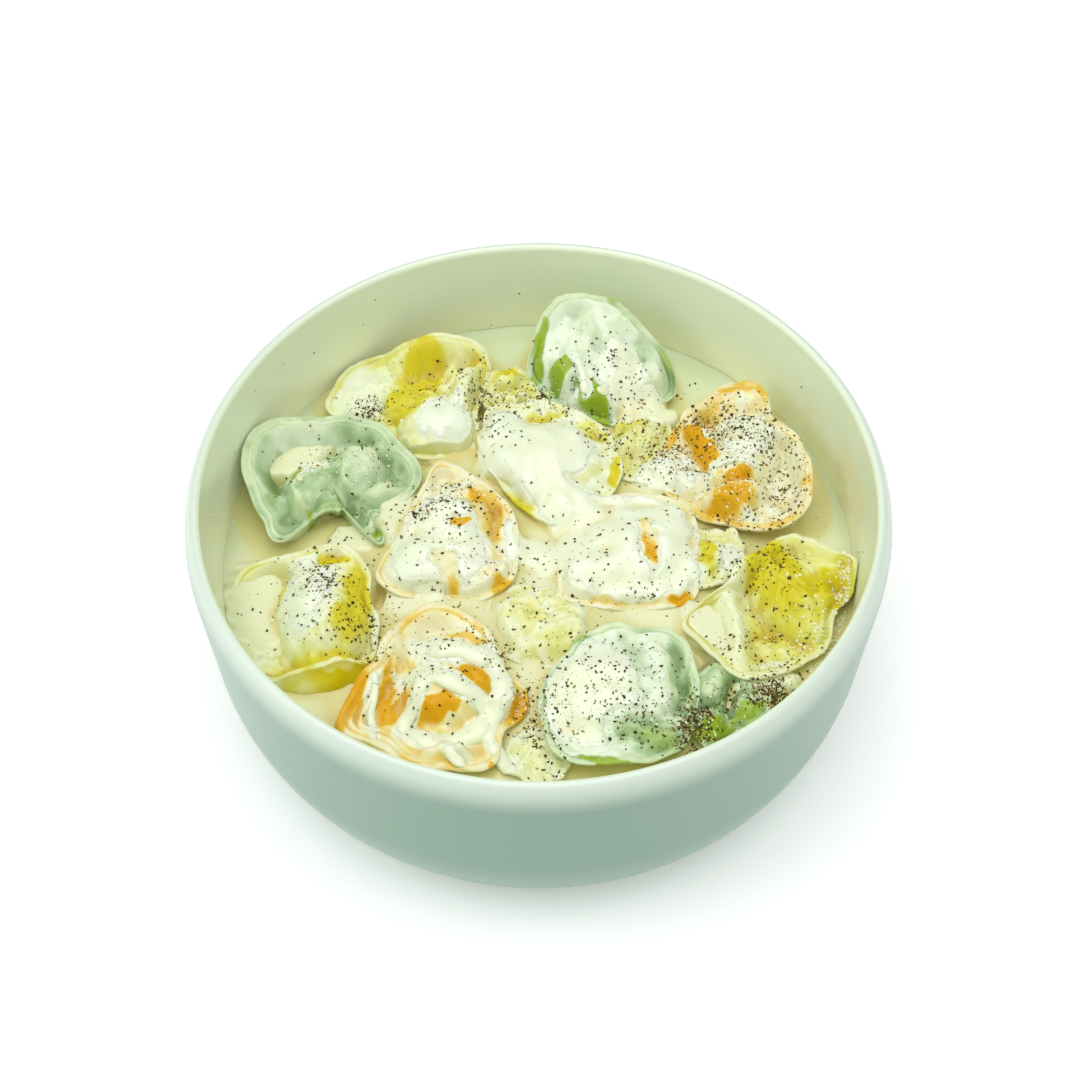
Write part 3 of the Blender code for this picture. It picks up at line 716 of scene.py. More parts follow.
orangeFront = {
    "node": "tortellino_orange_front", "dough": "orange", "middle": (-22, -42), "floor": 42.0,
    "brim": [(7, 18.4, 43.5), (15, 15.4, 44), (35, 16.4, 45.5), (51, 17.9, 46.5), (69, 19.4, 46.5),
             (82, 21.2, 46.5), (95, 22.2, 46.5), (111, 22.1, 46.5), (123, 20.6, 46.5), (144, 17.5, 46.5),
             (163, 17.8, 46.5), (179, 20, 46.5), (194, 23.4, 45.5), (204, 25.5, 44.5), (219, 22, 43.5),
             (244, 20.4, 43), (282, 21, 42), (305, 22, 42), (320, 17.5, 42), (342, 19.3, 42),
             (354, 19.8, 42.5)],
    "lean": [(10, 2), (60, 4), (110, 4.5), (150, 5), (185, 8), (215, 7), (260, 3)],
    "skirt": [(60, -3), (140, -2), (170, 1.0), (195, 2.2), (215, 1.5), (240, -2)],
    "pleats": {"from": 135, "to": 250, "count": 3, "depth": 0.8},
    "lumps": [((-20, -32, 11, 7, -6), 4.4), ((-20, -41, 11.5, 8.5, 15), 6.0), ((-6, -44, 5, 6.5, 0), 4.5),
              ((-21, -59, 6.5, 4, 0), 3.5)],
    "folds": [([(-26, -58), (-22, -62), (-17, -59), (-18, -55)], 0.9, 1.6),
              ([(-13, -63), (-11, -57), (-13, -52)], 1.0, 1.6),
              ([(-30, -50), (-24, -53), (-16, -52)], 1.5, -1.8)],
    "film": 0.74, "edgeFilm": 0.56, "thickness": 2.0,
    "paint": [((-14, -40.3, 5.8, 3.2, -14), 0.0, 0.3), ((-22.6, -46.8, 6.4, 2.4, 24), 0.0, 0.3),
              ((-32.2, -46.0, 4.4, 1.9, 56), 0.03, 0.4), ((-30, -54, 1.2, 1.5, 0), 0.05, 0.4),
              ((-43, -46, 3.4, 10, -28), 0.04, 0.7), ((-3.5, -46, 3.4, 5.0, 0), 0.10, 0.7),
              ((-10, -61, 1.5, 2.4, 0), 0.05, 0.5), ((-20, -59.5, 3, 1.6, 0), 0.45, 1.0),
              ((-21, -26.5, 10, 4.5, 0), 0.92, 0.8), ((-14.5, -29, 7, 0.8, -16), 0.40, 0.9),
              ((-9.5, -26.5, 7, 1.5, -52), 0.34, 0.9), ((-35.6, -44, 1.8, 9, -8), 0.12, 0.8)],
}
greenFront = {
    "node": "tortellino_green_front", "dough": "green", "middle": (21, -43), "floor": 44.2,
    "brim": [(21, 15.9, 45), (44, 18.3, 46.5), (61, 18.5, 46.8), (71, 18.3, 46.8), (96, 17.2, 46.8),
             (117, 18.2, 46.5), (133, 18.6, 46.5), (153, 18.6, 46.3), (172, 20.5, 46), (182, 21.2, 45.5),
             (201, 22, 45.3), (223, 23.6, 44.6), (241, 21.4, 44.4), (255, 20.0, 44.4), (271, 18.3, 44.5),
             (291, 17.8, 43), (323, 16.9, 42), (359, 16.1, 43)],
    "lean": [(20, 2.5), (80, 3), (140, 3.5), (200, 3.5), (260, 3), (330, 2)],
    "lumps": [((16, -41, 15, 13.5, 0), 4.4), ((27, -37, 6, 11, 8), 4.0), ((24, -53, 9, 4, -12), 1.2)],
    "folds": [([(30, -29), (33, -36), (33, -43), (31, -49)], 2.2, -2.3),
              ([(23, -30), (25, -38), (24, -46)], 2.2, -1.1), ([(35, -30), (37, -37), (36, -44)], 1.0, 2.0),
              ([(14, -52), (20, -54), (28, -56)], 1.2, -1.6)],
    "film": 0.94, "edgeFilm": 0.74,
    "paint": [((21.5, -38, 3.0, 9, 6), 0.82, 1.2), ((32.5, -40, 2.0, 10, 6), 0.56, 1.2),
              ((26, -54.5, 8, 4.0, -14), 0.44, 1.0), ((29, -55, 5, 2.4, -20), 0.40, 0.9),
              ((15, -61.5, 6, 1.4, -12), 0.06, 0.5), ((36, -35, 2, 6, 10), 0.72, 0.8),
              ((24, -24.5, 8, 1.0, -4), 0.45, 0.8), ((8, -31, 5, 1.0, 40), 0.40, 0.8),
              ((1, -48, 1.0, 9, 0), 0.55, 0.8)],
}
greenCorner = {
    "node": "tortellino_green_corner", "dough": "green", "middle": (43, -47), "floor": 41.0,
    "brim": [(10, 10, 42), (60, 10, 41.5), (100, 13, 42.5), (130, 12, 43.5), (160, 9.5, 43.5),
             (210, 10, 42), (270, 10.5, 41), (320, 9, 41)],
    "lean": [(0, 3)],
    "lumps": [((39, -49, 6, 4, 20), 4.0), ((47.5, -45, 5.5, 3.5, 30), 3.5), ((40, -39, 3.4, 6, -20), 4.5)],
    "folds": [([(44, -37), (44, -43), (42, -52)], 1.2, -2.6),
              ([(36, -44), (40, -45), (46, -48)], 1.0, -1.8)],
    "film": 0.50, "edgeFilm": 0.50, "columns": 110, "rings": 64,
    "paint": [((39, -52, 6, 2.2, 20), 0.03, 0.6), ((48.5, -46, 5, 1.7, 30), 0.10, 0.7),
              ((40, -39, 2, 5, -20), 0.62, 0.9)],
}
paleMiddle = {
    "node": "tortellino_pale_middle", "dough": "yellow", "middle": (1, -20), "floor": 42.9,
    "brim": [(20, 13, 41.6), (95, 9, 42.2), (158, 14, 41.8), (238, 14, 41.8), (284, 15, 41.5),
             (335, 15, 41.6)],
    "lean": [(0, 4)],
    "lumps": [((4, -25, 13, 8, 10), 2.6), ((-8, -19, 9, 8, 30), 2.0)],
    "folds": [([(-3, -15), (-1, -21), (-4, -28)], 2.2, -0.9)],
    "film": 0.80, "edgeFilm": 0.9, "columns": 130, "rings": 70,
    "paint": [((5, -29, 7, 3, 10), 0.60, 0.9), ((-4, -20, 5, 3, 0), 0.66, 0.9)],
}
paleBack = {
    "node": "tortellino_pale_back", "dough": "yellow", "middle": (27, 33), "floor": 43.4,
    "brim": [(20, 9, 42.5), (90, 10, 42.5), (160, 9, 43), (225, 12, 43.0), (290, 15, 43.0)],
    "lean": [(0, 3.5)],
    "lumps": [((25, 35, 7, 5, 20), 2.6), ((31, 23, 8, 4.5, 10), 3.0)],
    "folds": [([(22, 29), (29, 28), (36, 30)], 1.2, -1.0)],
    "film": 0.70, "edgeFilm": 0.8, "columns": 110, "rings": 64,
    "paint": [((20, 37, 7, 3, 10), 0.42, 0.9), ((31, 23, 7, 3.4, 10), 0.97, 0.8)],
}
yellowScrap = {
    "node": "tortellino_yellow_scrap", "dough": "yellow", "middle": (-7, 50), "floor": 43.2,
    "brim": [(0, 7.5, 42.5), (60, 7.5, 43), (110, 8, 43.5), (180, 7.5, 42.5), (270, 8, 42.5)],
    "lean": [(0, 3)],
    "lumps": [((-8, 53.5, 3.5, 3, 0), 3.2), ((-6, 47, 6, 4, 0), 2.0), ((-1, 51, 3, 3, 0), 1.6)],
    "folds": [([(-11, 50), (-7, 50), (-3, 52)], 0.9, -1.2)],
    "film": 0.62, "edgeFilm": 0.7, "columns": 96, "rings": 56,
    "paint": [((-8, 55, 3.2, 2.6, 0), 0.20, 0.8), ((-3, 50, 3, 2, 0), 0.45, 0.8)],
}
yellowFold = {
    "node": "tortellino_yellow_fold", "dough": "yellow", "middle": (43, -2), "floor": 43.4,
    "brim": [(0, 7, 43.2), (80, 8, 43), (150, 8, 43.2), (240, 11, 43), (285, 10, 43)],
    "lean": [(0, 3)],
    "lumps": [((41, -3, 5, 4, 70), 2.2)],
    "folds": [([(47, 3), (42, 2), (38, 4)], 0.9, 0.9)],
    "film": 0.76, "edgeFilm": 0.8, "columns": 96, "rings": 56,
    "paint": [((40.5, -3, 2.4, 4.8, 10), 0.22, 0.9)],
}
paleFront = {
    "node": "tortellino_pale_front", "dough": "yellow", "middle": (0, -57), "floor": 40.9,
    "brim": [(20, 7.5, 40.4), (90, 8, 40.6), (160, 7.5, 40.4), (270, 8, 40.0)],
    "lean": [(0, 3)],
    "lumps": [((0, -56, 4, 5.5, 0), 1.4)],
    "film": 0.84, "edgeFilm": 0.9, "columns": 96, "rings": 56,
    "paint": [],
}
dumplings = [yellowBack, greenBack, orangeRight, greenLeft, yellowMiddle, orangeMiddleLeft, orangeMiddleRight,
             yellowRight, yellowLeft, orangeFront, greenFront, greenCorner, paleMiddle, paleBack, yellowScrap,
             yellowFold, paleFront]

dumplingForm = {
    "columns": 190, "rings": 104,
    "brimThickness": 1.5,
    "wallGap": 0.5,         # room left to the bowl
    # where the stretches of the section end, as shares of the way from top to bottom
    "inside": 0.50, "brimTop": 0.65, "edgeEnd": 0.71, "sideEnd": 0.88,
    "split": 0.25, "splitWidth": 0.2,
    "crown": 0.4,           # how far the edge bulges up, as a share of its thickness
    "tuck": 1.5,            # how far the side draws in below
    "depth": 13.0,
    "waviness": 0.45,
    "softness": 0.14,
}


def seedOf(piece, first, second):
    return abs(int(piece["middle"][0] * first + piece["middle"][1] * second))


def aroundBrim(knots, directions, column):
    # a smooth closed curve through the brim's values
    angles = np.array([knot[0] for knot in knots], dtype=float)
    values = np.array([knot[column] for knot in knots], dtype=float)
    angles = np.concatenate([angles[-2:] - 360, angles, angles[:2] + 360])
    values = np.concatenate([values[-2:], values, values[:2]])
    slopes = np.gradient(values, angles)
    index = np.clip(np.searchsorted(angles, directions, side="right") - 1, 0, len(angles) - 2)
    span = angles[index + 1] - angles[index]
    share = (directions - angles[index]) / span
    rest = 1 - share
    return (values[index] * rest * rest * (1 + 2 * share)
            + values[index + 1] * share * share * (3 - 2 * share)
            + slopes[index] * span * share * rest * rest
            - slopes[index + 1] * span * share * share * rest)


def aroundLevels(levels, directions):
    angles, values = zip(*levels)
    return np.interp(directions, angles, values, period=360)


def hollowHeight(piece, x, y):
    # height of the dough inside the brim: floor, lumps and folds
    height = piece["floor"] + piece.get("rise", 0.0) * (y - piece["middle"][1])
    swell = np.zeros_like(x)
    for oval, top in piece["lumps"]:
        dome = top * np.clip(1.0 - ovalDistance(x, y, oval) ** 2.2, 0.0, 1.0) ** 0.72
        swell += dome ** 4
    height = height + swell ** 0.25
    for route, halfWidth, rise in piece.get("folds", []):
        distance, share = lineDistance(x, y, rounded(route))
        fade = np.sqrt(np.clip(np.sin(np.clip(share * 0.9 + 0.05, 0, 1) * math.pi), 0, 1))
        height += rise * fade * np.exp(-(distance / halfWidth) ** 2)
    seed = seedOf(piece, 7, 13)
    height += 0.35 * unevenness(x, y, seed, 6.0) + 0.12 * unevenness(x, y, seed + 1, 2.4)
    return height


def filmOn(piece, x, y):
    # cream on the dough: a thin film, more beside the thick coats, none on the painted bare places
    wanderX, wanderY = wander(x, y)
    film = piece["film"] + 0.07 * unevenness(x, y, seedOf(piece, 5, 3) + 4, 5.0)
    inward, _ = coatOver(wanderX, wanderY)
    film = np.maximum(film, smooth((inward + 1.8) / 1.8))
    for oval, goal, softness in piece["paint"]:
        distance = ovalDistance(wanderX, wanderY, oval)
        film += (goal - film) * smooth((1.0 + 0.5 * softness - distance) / softness)
    return np.maximum(film, smooth((besideStrands(x, y) + 0.7) / 0.7))


def stretchOf(way, start, end):
    # how far along one stretch of the section each point is, and which points have reached it
    share = np.clip((way - start) / (end - start), 0, 1)
    return share, share > 0


def makeDumpling(piece):
    form = dumplingForm
    bpy.ops.mesh.primitive_uv_sphere_add(segments=piece.get("columns", form["columns"]),
                                         ring_count=piece.get("rings", form["rings"]), radius=mm)
    obj = bpy.context.object
    # the section runs along way, from 0 at the ball's top to 1 at its bottom, in every direction
    ball = pointsOf(obj)
    way = np.arccos(np.clip(ball[:, 2], -1, 1)) / math.pi
    directions = np.degrees(np.arctan2(ball[:, 1], ball[:, 0])) % 360
    towardsX, towardsY = np.cos(np.radians(directions)), np.sin(np.radians(directions))
    middleX, middleY = piece["middle"]

    reach = aroundBrim(piece["brim"], directions, 1)
    edge = aroundBrim(piece["brim"], directions, 2)
    seed = seedOf(piece, 3, 11)
    aroundX, aroundY = 12 * towardsX, 12 * towardsY
    reach += form["waviness"] * unevenness(aroundX, aroundY, seed, 7.0)
    edge += form["waviness"] * unevenness(aroundX, aroundY, seed + 9, 8.0)
    # the wall of the bowl holds the brim back
    wall = innerRadius(edge) - form["wallGap"]
    along = middleX * towardsX + middleY * towardsY
    reach = np.minimum(reach, -along + np.sqrt(along ** 2 - middleX ** 2 - middleY ** 2 + wall ** 2))
    lean = aroundLevels(piece["lean"], directions)
    skirt = aroundLevels(piece["skirt"], directions) if "skirt" in piece else -0.8 * lean
    thickness = piece.get("thickness", form["brimThickness"])
    foot = reach - thickness - lean
    footHeight = hollowHeight(piece, middleX + foot * towardsX, middleY + foot * towardsY)

    # 1: the hollow
    share, _ = stretchOf(way, 0.0, form["inside"])
    radius = foot * share ** 0.9
    height = hollowHeight(piece, middleX + radius * towardsX, middleY + radius * towardsY)
    # 2: up the inside of the brim
    share, climbing = stretchOf(way, form["inside"], form["brimTop"])
    radius = np.where(climbing, foot + lean * share ** 0.85, radius)
    climb = footHeight + (edge - footHeight) * smooth(share) ** 0.9
    if "pleats" in piece:
        pleats = piece["pleats"]
        within = smooth((directions - pleats["from"]) / 25) * smooth((pleats["to"] - directions) / 25)
        waves = np.sin(share * math.pi * 2 * pleats["count"])
        climb = climb + within * pleats["depth"] * waves * np.sin(share * math.pi)
    height = np.where(climbing, climb, height)
    # 3: over the edge
    share, turning = stretchOf(way, form["brimTop"], form["edgeEnd"])
    radius = np.where(turning, reach - 0.5 * thickness * (1 + np.cos(math.pi * share)), radius)
    groove = piece.get("split", form["split"]) * np.exp(-((share - 0.5) / form["splitWidth"]) ** 2)
    height = np.where(turning, edge + form["crown"] * thickness * np.sin(math.pi * share) - groove, height)
    # 4: down the outside
    share, falling = stretchOf(way, form["edgeEnd"], form["sideEnd"])
    sideEnd = np.minimum(edge, piece["floor"]) - 0.5 * form["depth"]
    radius = np.where(falling, reach + skirt * smooth(share * 1.6) - form["tuck"] * share ** 2, radius)
    height = np.where(falling, edge + (sideEnd - edge) * share ** 1.1, height)
    # 5: the underside
    share, sunk = stretchOf(way, form["sideEnd"], 1.0)
    radius = np.where(sunk, (reach + skirt - form["tuck"]) * np.cos(share * math.pi / 2), radius)
    height = np.where(sunk, sideEnd - 0.5 * form["depth"] * np.sin(share * math.pi / 2), height)

    x = middleX + radius * towardsX
    y = middleY + radius * towardsY
    seamWave = form["softness"] * unevenness(x + height, y - height, seed + 4, 3.0)
    placePoints(obj, np.column_stack([x, y, height + seamWave * (way < form["sideEnd"])]))

    film = filmOn(piece, x, y)
    nearEdge = smooth((way - form["brimTop"] + 0.03) / 0.04) * smooth((form["edgeEnd"] + 0.03 - way) / 0.04)
    edgeFilm = piece["edgeFilm"] + 0.12 * unevenness(aroundX, aroundY, seed + 6, 5.0)
    film += (np.minimum(edgeFilm, film) - film) * nearEdge
    paintPoints(obj, "film", film)
    startEdit(obj)
    endEdit()
    paintPoints(obj, "dip", dips(obj, 60))
    return obj


dumplingObjects = []
for piece in dumplings:
    words = piece["node"].split("_")[1:]
    name = "dumpling" + "".join(word.capitalize() for word in words)
    dough = piece["dough"]
    made = makeDumpling(piece)
    dumplingObjects.append(settle(made, name, doughs[dough]["slot"], doughFinishes[dough], piece["node"]))
print("dumplings shaped:", len(dumplingObjects))


def creamSheet():
    # a grid drawn out to a disc that fits the bowl
    cells = cream["cells"]
    bpy.ops.mesh.primitive_grid_add(x_subdivisions=cells, y_subdivisions=cells, size=2 * mm)
    obj = bpy.context.object
    square = pointsOf(obj)
    across, deep = square[:, 0], square[:, 1]
    sideways = np.abs(across) >= np.abs(deep)
    radius = np.where(sideways, across, deep)
    with np.errstate(divide="ignore", invalid="ignore"):
        angle = np.where(sideways, math.pi / 4 * deep / across, math.pi / 2 - math.pi / 4 * across / deep)
    angle = np.nan_to_num(angle)
    return obj, radius * np.cos(angle), radius * np.sin(angle)


def besides(grid):
    # each cell's four neighbours
    padded = np.pad(grid, 1, mode="edge")
    return padded[:-2, 1:-1], padded[2:, 1:-1], padded[1:-1, :-2], padded[1:-1, 2:]


def softened(values, passes):
    # spreads each height over its neighbours on the sheet's grid
    grid = values.reshape(cream["cells"] + 1, -1)
    for _ in range(passes):
        before, behind, left, right = besides(grid)
        grid = (before + behind + left + right + 2 * grid) / 6
    return grid.ravel()


def lowest(values, passes):
    # the lowest height in the neighbourhood
    grid = values.reshape(cream["cells"] + 1, -1)
    for _ in range(passes):
        grid = np.minimum.reduce([*besides(grid), grid])
    return grid.ravel()


def treeOf(objects):
    points = []
    faces = []
    for obj in objects:
        start = len(points)
        points += [vertex.co.copy() for vertex in obj.data.vertices]
        faces += [[start + index for index in face.vertices] for face in obj.data.polygons]
    return BVHTree.FromPolygons(points, faces)


def fallOn(tree, x, y):
    # where something let fall at x, y lands, and the surface's normal there
    return tree.ray_cast(Vector((x * mm, y * mm, dropFrom)), Vector((0, 0, -1)), dropReach)[:2]


def heightsOf(tree, x, y, missing):
    landings = [fallOn(tree, *place)[0] for place in zip(x, y)]
    return np.array([missing if point is None else point.z / mm for point in landings])


def makeCream():
    obj, unitX, unitY = creamSheet()
    radius = innerRadius(cream["edgeLevel"]) - cream["gap"]
    x, y = unitX * radius, unitY * radius
    dough = heightsOf(treeOf(dumplingObjects), x, y, cream["bottom"])
    fromMiddle = np.hypot(x, y)

    # the level: higher in the middle, with pools, and creeping up the wall
    level = cream["edgeLevel"] + (cream["middleLevel"] - cream["edgeLevel"]) * smooth(
        (cream["edgeRadius"] - fromMiddle) / (cream["edgeRadius"] - cream["middleRadius"]))
    wanderX, wanderY = wander(x, y)
    pooled = np.zeros_like(x)
    for oval, height in cream["pools"]:
        weight = smooth((1.2 - ovalDistance(wanderX, wanderY, oval)) / 0.4)
        level = level + (np.maximum(height, level) - level) * weight
        pooled = np.maximum(pooled, weight)
    level += 0.12 * unevenness(x, y, 31, 14.0)
    climb, climbWidth = cream["climb"]
    level += climb * np.exp(-(radius - fromMiddle) / climbWidth)
    gap = np.zeros_like(x)
    for oval, height in cream["gaps"]:
        weight = smooth((1.1 - ovalDistance(x, y, oval)) / 0.3)
        level = level + (height - level) * weight
        gap = np.maximum(gap, weight)

    # the thick coats, which span what lies below them
    inward, thick = creamOver(x, y)
    inward = inward - 9.0 * gap
    ripple = 0.18 * unevenness(x, y, 33, 6.0) + 0.04 * unevenness(x, y, 34, 2.4)
    thick = thick + ripple * smooth(thick / 0.5)
    shape = np.maximum(dough, level)
    bridge = np.maximum(shape, softened(shape, cream["bridging"])) - shape
    blanket = shape + bridge * smooth(inward / 3.5) + thick
    thinPasses, thickPasses = cream["softening"]
    blanket = np.where(inward > 1.2, softened(blanket, thickPasses), softened(blanket, thinPasses))
    under = np.maximum(level, lowest(dough, 7) - cream["hidden"])
    height = under + (blanket - under) * smooth(inward / 0.8 + 0.15)
    scale = (innerRadius(height) - cream["gap"]) / radius
    scale = np.where(fromMiddle > radius - 3.0, scale, 1.0)
    placePoints(obj, np.column_stack([x * scale, y * scale, height]))
    paintPoints(obj, "coat", smooth(softened((height - level) / 1.2, 2)))
    # how far the sheet lies below its softened surroundings, less in the pools, for painted shade in the
    # valleys between the dumplings
    paintPoints(obj, "valley", np.clip(softened(shape, 160) - height, 0, 3) * (1 - 0.7 * pooled))
    # the hidden body of the sauce, down to the bowl's floor
    pickRim(obj, np.hypot(unitX, unitY) > 0.99999)
    bpy.ops.mesh.select_mode(type="VERT")
    for fall, factor in cream["body"]:
        pullRim(fall, factor)
    bpy.ops.mesh.edge_face_add()
    endEdit()
    paintPoints(obj, "dip", dips(obj, 24))
    return obj


def creamFinish():
    sauce = Finish("creamSauce", {"Subsurface Weight": 0.18, "Subsurface Scale": 0.003,
                                  "Subsurface Radius": (1.0, 0.9, 0.6), "Coat Weight": 0.35,
                                  "Coat Roughness": 0.16, "Specular IOR Level": 0.4})
    coat = sauce.painted("coat")
    dip = sauce.painted("dip")
    cloud = sauce.noise(90.0, 3.0)
    grain = sauce.noise(1500.0, 3.0, 0.6)
    tint = sauce.blend(coat, cream["still"], cream["thick"])
    reach = sauce.add("ShaderNodeVectorMath", {"operation": "LENGTH"}, {0: sauce.place()}, output=1)
    # at the back the sauce is thin and takes the wall's colour, toned down as painted shade so that it meets
    # the shaded wall
    low = 1 - sauce.steps(sauce.along("z"), 0.0405, 0.0418)
    thin = sauce.steps(reach, 0.066, 0.078) * sauce.steps(sauce.along("y"), -0.012, 0.030) * low
    tint = sauce.blend(0.80 * thin, tint, cream["thin"])
    # painted shade along the foot of the wall, strongest where the sauce is thin at the back
    tint = sauce.blend(sauce.steps(reach, 0.0795, 0.0862) * (0.45 + 0.55 * thin), tint, cream["edge"])
    tint = sauce.blend(cloud * 0.25, tint, cream["cloud"])
    # painted shade in the valleys between the dumplings
    tint = sauce.blend(0.85 * sauce.steps(sauce.painted("valley"), 0.1, 1.4), tint, cream["valley"])
    # painted shade in the crevices, and a painted highlight on the crests of the thick cream
    tint = sauce.blend(0.8 * sauce.steps(dip, 0.04, 0.7), tint, cream["creviceShade"])
    tint = sauce.blend(0.5 * sauce.steps(-1 * dip, 0.04, 0.6) * coat, tint, cream["crestHighlight"])
    sauce.give("Base Color", tint)
    sauce.give("Roughness", 0.28 + 0.2 * cloud)
    sauce.relief(cloud * 0.6 + grain * 0.25 * coat, 0.0005, 0.22)
    return sauce


creamSkin = creamFinish()
creamObject = settle(makeCream(), "creamSauceCoat", "cream", creamSkin, "cream_sauce")
print("cream poured")

strand = {
    "sides": 14,
    "step": 0.35,           # distance between its rings
    "sunk": 0.1,            # share of its thickness that sinks in
    "settling": 40,         # passes that let it sag over what is below
    "bottom": 42.0,         # taken where no food lies below
    "skin": 0.28,           # cell size as the ropes are made one skin
    "softening": 10,
}


def sweep(route, halfWidth, depth, tree):
    # a rounded rope that lies on the food
    line = np.array(rounded(route, 3))
    steps = np.concatenate([[0], np.cumsum(np.hypot(*np.diff(line, axis=0).T))])
    count = int(steps[-1] / strand["step"]) + 2
    way = np.linspace(0, steps[-1], count)
    x, y = np.interp(way, steps, line[:, 0]), np.interp(way, steps, line[:, 1])
    x, y = x + 0.4 * unevenness(x, y, 61, 8.0), y + 0.4 * unevenness(x, y, 62, 8.0)
    z = heightsOf(tree, x, y, strand["bottom"])
    for _ in range(strand["settling"]):
        z[1:-1] = (z[:-2] + 2 * z[1:-1] + z[2:]) / 4
    ends = np.sqrt(np.clip(np.minimum(way, steps[-1] - way) / (1.2 * halfWidth) + 0.02, 0, 1))
    swell = 1 + 0.10 * unevenness(x, y, 63, 7.0)
    alongX, alongY = np.gradient(x), np.gradient(y)
    length = np.hypot(alongX, alongY)
    sideX, sideY = -alongY / length, alongX / length
    sides = strand["sides"]
    rings = []
    for angle in np.linspace(0, 2 * math.pi, sides, endpoint=False):
        wide = halfWidth * ends * swell * math.cos(angle)
        high = depth * ends * swell * math.sin(angle)
        rings.append(np.column_stack([x + wide * sideX, y + wide * sideY, z + high - strand["sunk"] * depth]))
    points = np.stack(rings, axis=1).reshape(-1, 3)
    faces = [[row * sides + turn, row * sides + (turn + 1) % sides, (row + 1) * sides + (turn + 1) % sides,
              (row + 1) * sides + turn] for row in range(count - 1) for turn in range(sides)]
    faces.append(list(range(sides))[::-1])
    faces.append([(count - 1) * sides + turn for turn in range(sides)])
    return points, faces


def makeStrands(tree):
    allPoints, allFaces, start = [], [], 0
    for route, halfWidth, depth in cream["strands"]:
        points, faces = sweep(route, halfWidth, depth, tree)
        allPoints.append(points)
        allFaces += [[start + index for index in face] for face in faces]
        start += len(points)
    obj = newObject("creamStrands", np.concatenate(allPoints), allFaces)
    startEdit(obj)
    endEdit()
    pickOnly(obj)
    remesh = obj.modifiers.new("oneSkin", "REMESH")
    remesh.mode = "VOXEL"
    remesh.voxel_size = strand["skin"] * mm
    soften = obj.modifiers.new("soften", "SMOOTH")
    soften.factor = 0.5
    soften.iterations = strand["softening"]
    for modifier in ("oneSkin", "soften"):
        bpy.ops.object.modifier_apply(modifier=modifier)
    bpy.ops.object.shade_smooth()
    bpy.ops.object.select_all(action="DESELECT")
    paintPoints(obj, "coat", np.ones(len(obj.data.vertices)))
    paintPoints(obj, "valley", np.zeros(len(obj.data.vertices)))
    paintPoints(obj, "dip", dips(obj, 20))
    return obj


strandTree = treeOf(dumplingObjects + [creamObject])
strandObject = settle(makeStrands(strandTree), "creamStrands", "cream", creamSkin)
print("strands laid:", len(strandObject.data.polygons), "faces")

# sizes: smallest and largest half size.  crowd: multiplies every number.  reach: farthest from the middle.
# sink: how far a grain's middle lies above the food, as a share of its half size.  chipping: its unevenness.
# clusters: middle x, middle y, spread across, spread in depth, number.
pepper = {
    "sizes": (0.10, 0.42), "flat": 0.55, "crowd": 1.45, "seed": 11, "sink": 0.25, "reach": 75.0,
    "chipping": 0.35, "shapeSeed": 3, "turnSeed": 5,
    "tones": [(0.0, (42, 35, 12)), (0.4, (74, 60, 20)), (0.8, (116, 97, 36)), (1.0, (164, 140, 62))],
    "chip": (40, 34, 20),
    "wallSpecks": {"number": 46, "seed": 21, "heights": (41, 63), "sizes": (0.16, 0.3)},
    "clusters": [(-43, 44, 2.4, 2.6, 190), (-30, 50, 7, 6, 90), (-16, 52, 3, 5, 70), (-14, 46, 3, 3, 60),
                 (-7, 46, 5, 4, 150), (0, 47, 4, 4, 100), (13, 51, 7, 6, 110), (9, 42, 4, 2, 60),
                 (18, 54, 1.2, 1.2, 22), (24, 48, 3, 3, 40), (31, 52, 6, 6, 22), (-10, 34, 4, 5, 45),
                 (15, 34, 5, 4, 60), (0, 22, 10, 10, 30), (27, 31, 6, 5, 260), (36, 25, 5, 6, 230),
                 (50, 30, 6, 6, 420), (43, 37, 3.5, 2.5, 120), (58, 22, 4, 6, 150), (62, 15, 3, 4, 70),
                 (50, 8, 8, 3, 170), (-22, 14, 5, 3, 80), (-28, 8, 2, 1.5, 70), (-17, 9, 5, 4, 110),
                 (-20, 0, 6, 5, 50), (-26, -10, 9, 6, 60), (-8, -10, 8, 7, 60), (6, -6, 9, 9, 60),
                 (25, -6, 11, 8, 110), (24, -14, 3, 1.5, 24), (0, -25, 9, 7, 80), (55, -10, 5, 4, 160),
                 (43, -6, 4, 4, 70), (60, -24, 6, 5, 110), (47, -30, 4, 4, 60), (62, -35, 5, 2.5, 60),
                 (54.5, -41, 3.0, 2.0, 520), (-53, -12, 5, 6, 140), (-49, -12, 2.5, 2, 50),
                 (-50, -20, 4, 5, 70), (-40, -21, 4, 4, 90), (-46, -26, 4, 3, 40), (-38, -30, 3, 3, 70),
                 (-62, -20, 5, 11, 26), (-30, -38, 5, 5, 60), (-18, -29, 7, 3.5, 70), (-10, -31, 3, 3, 60),
                 (-20, -46, 8, 7, 60), (-4, -44, 2.5, 5, 80), (-1, -51, 1.6, 3, 60), (5, -49, 3.5, 6, 100),
                 (18, -43, 8, 8, 260), (22, -51, 6, 3, 100), (36, -49.5, 2.2, 3.4, 430),
                 (33, -54, 2, 2, 110), (45, -44, 4, 3, 130), (2, -58, 2.5, 3, 55), (-48, 29, 6, 3, 40),
                 (-60, 26, 5, 4, 14), (-52, 14, 9, 7, 30), (-40, 23, 4, 6, 36), (-36, 8, 4, 8, 30),
                 (-45, 4, 5, 3, 14)],
}
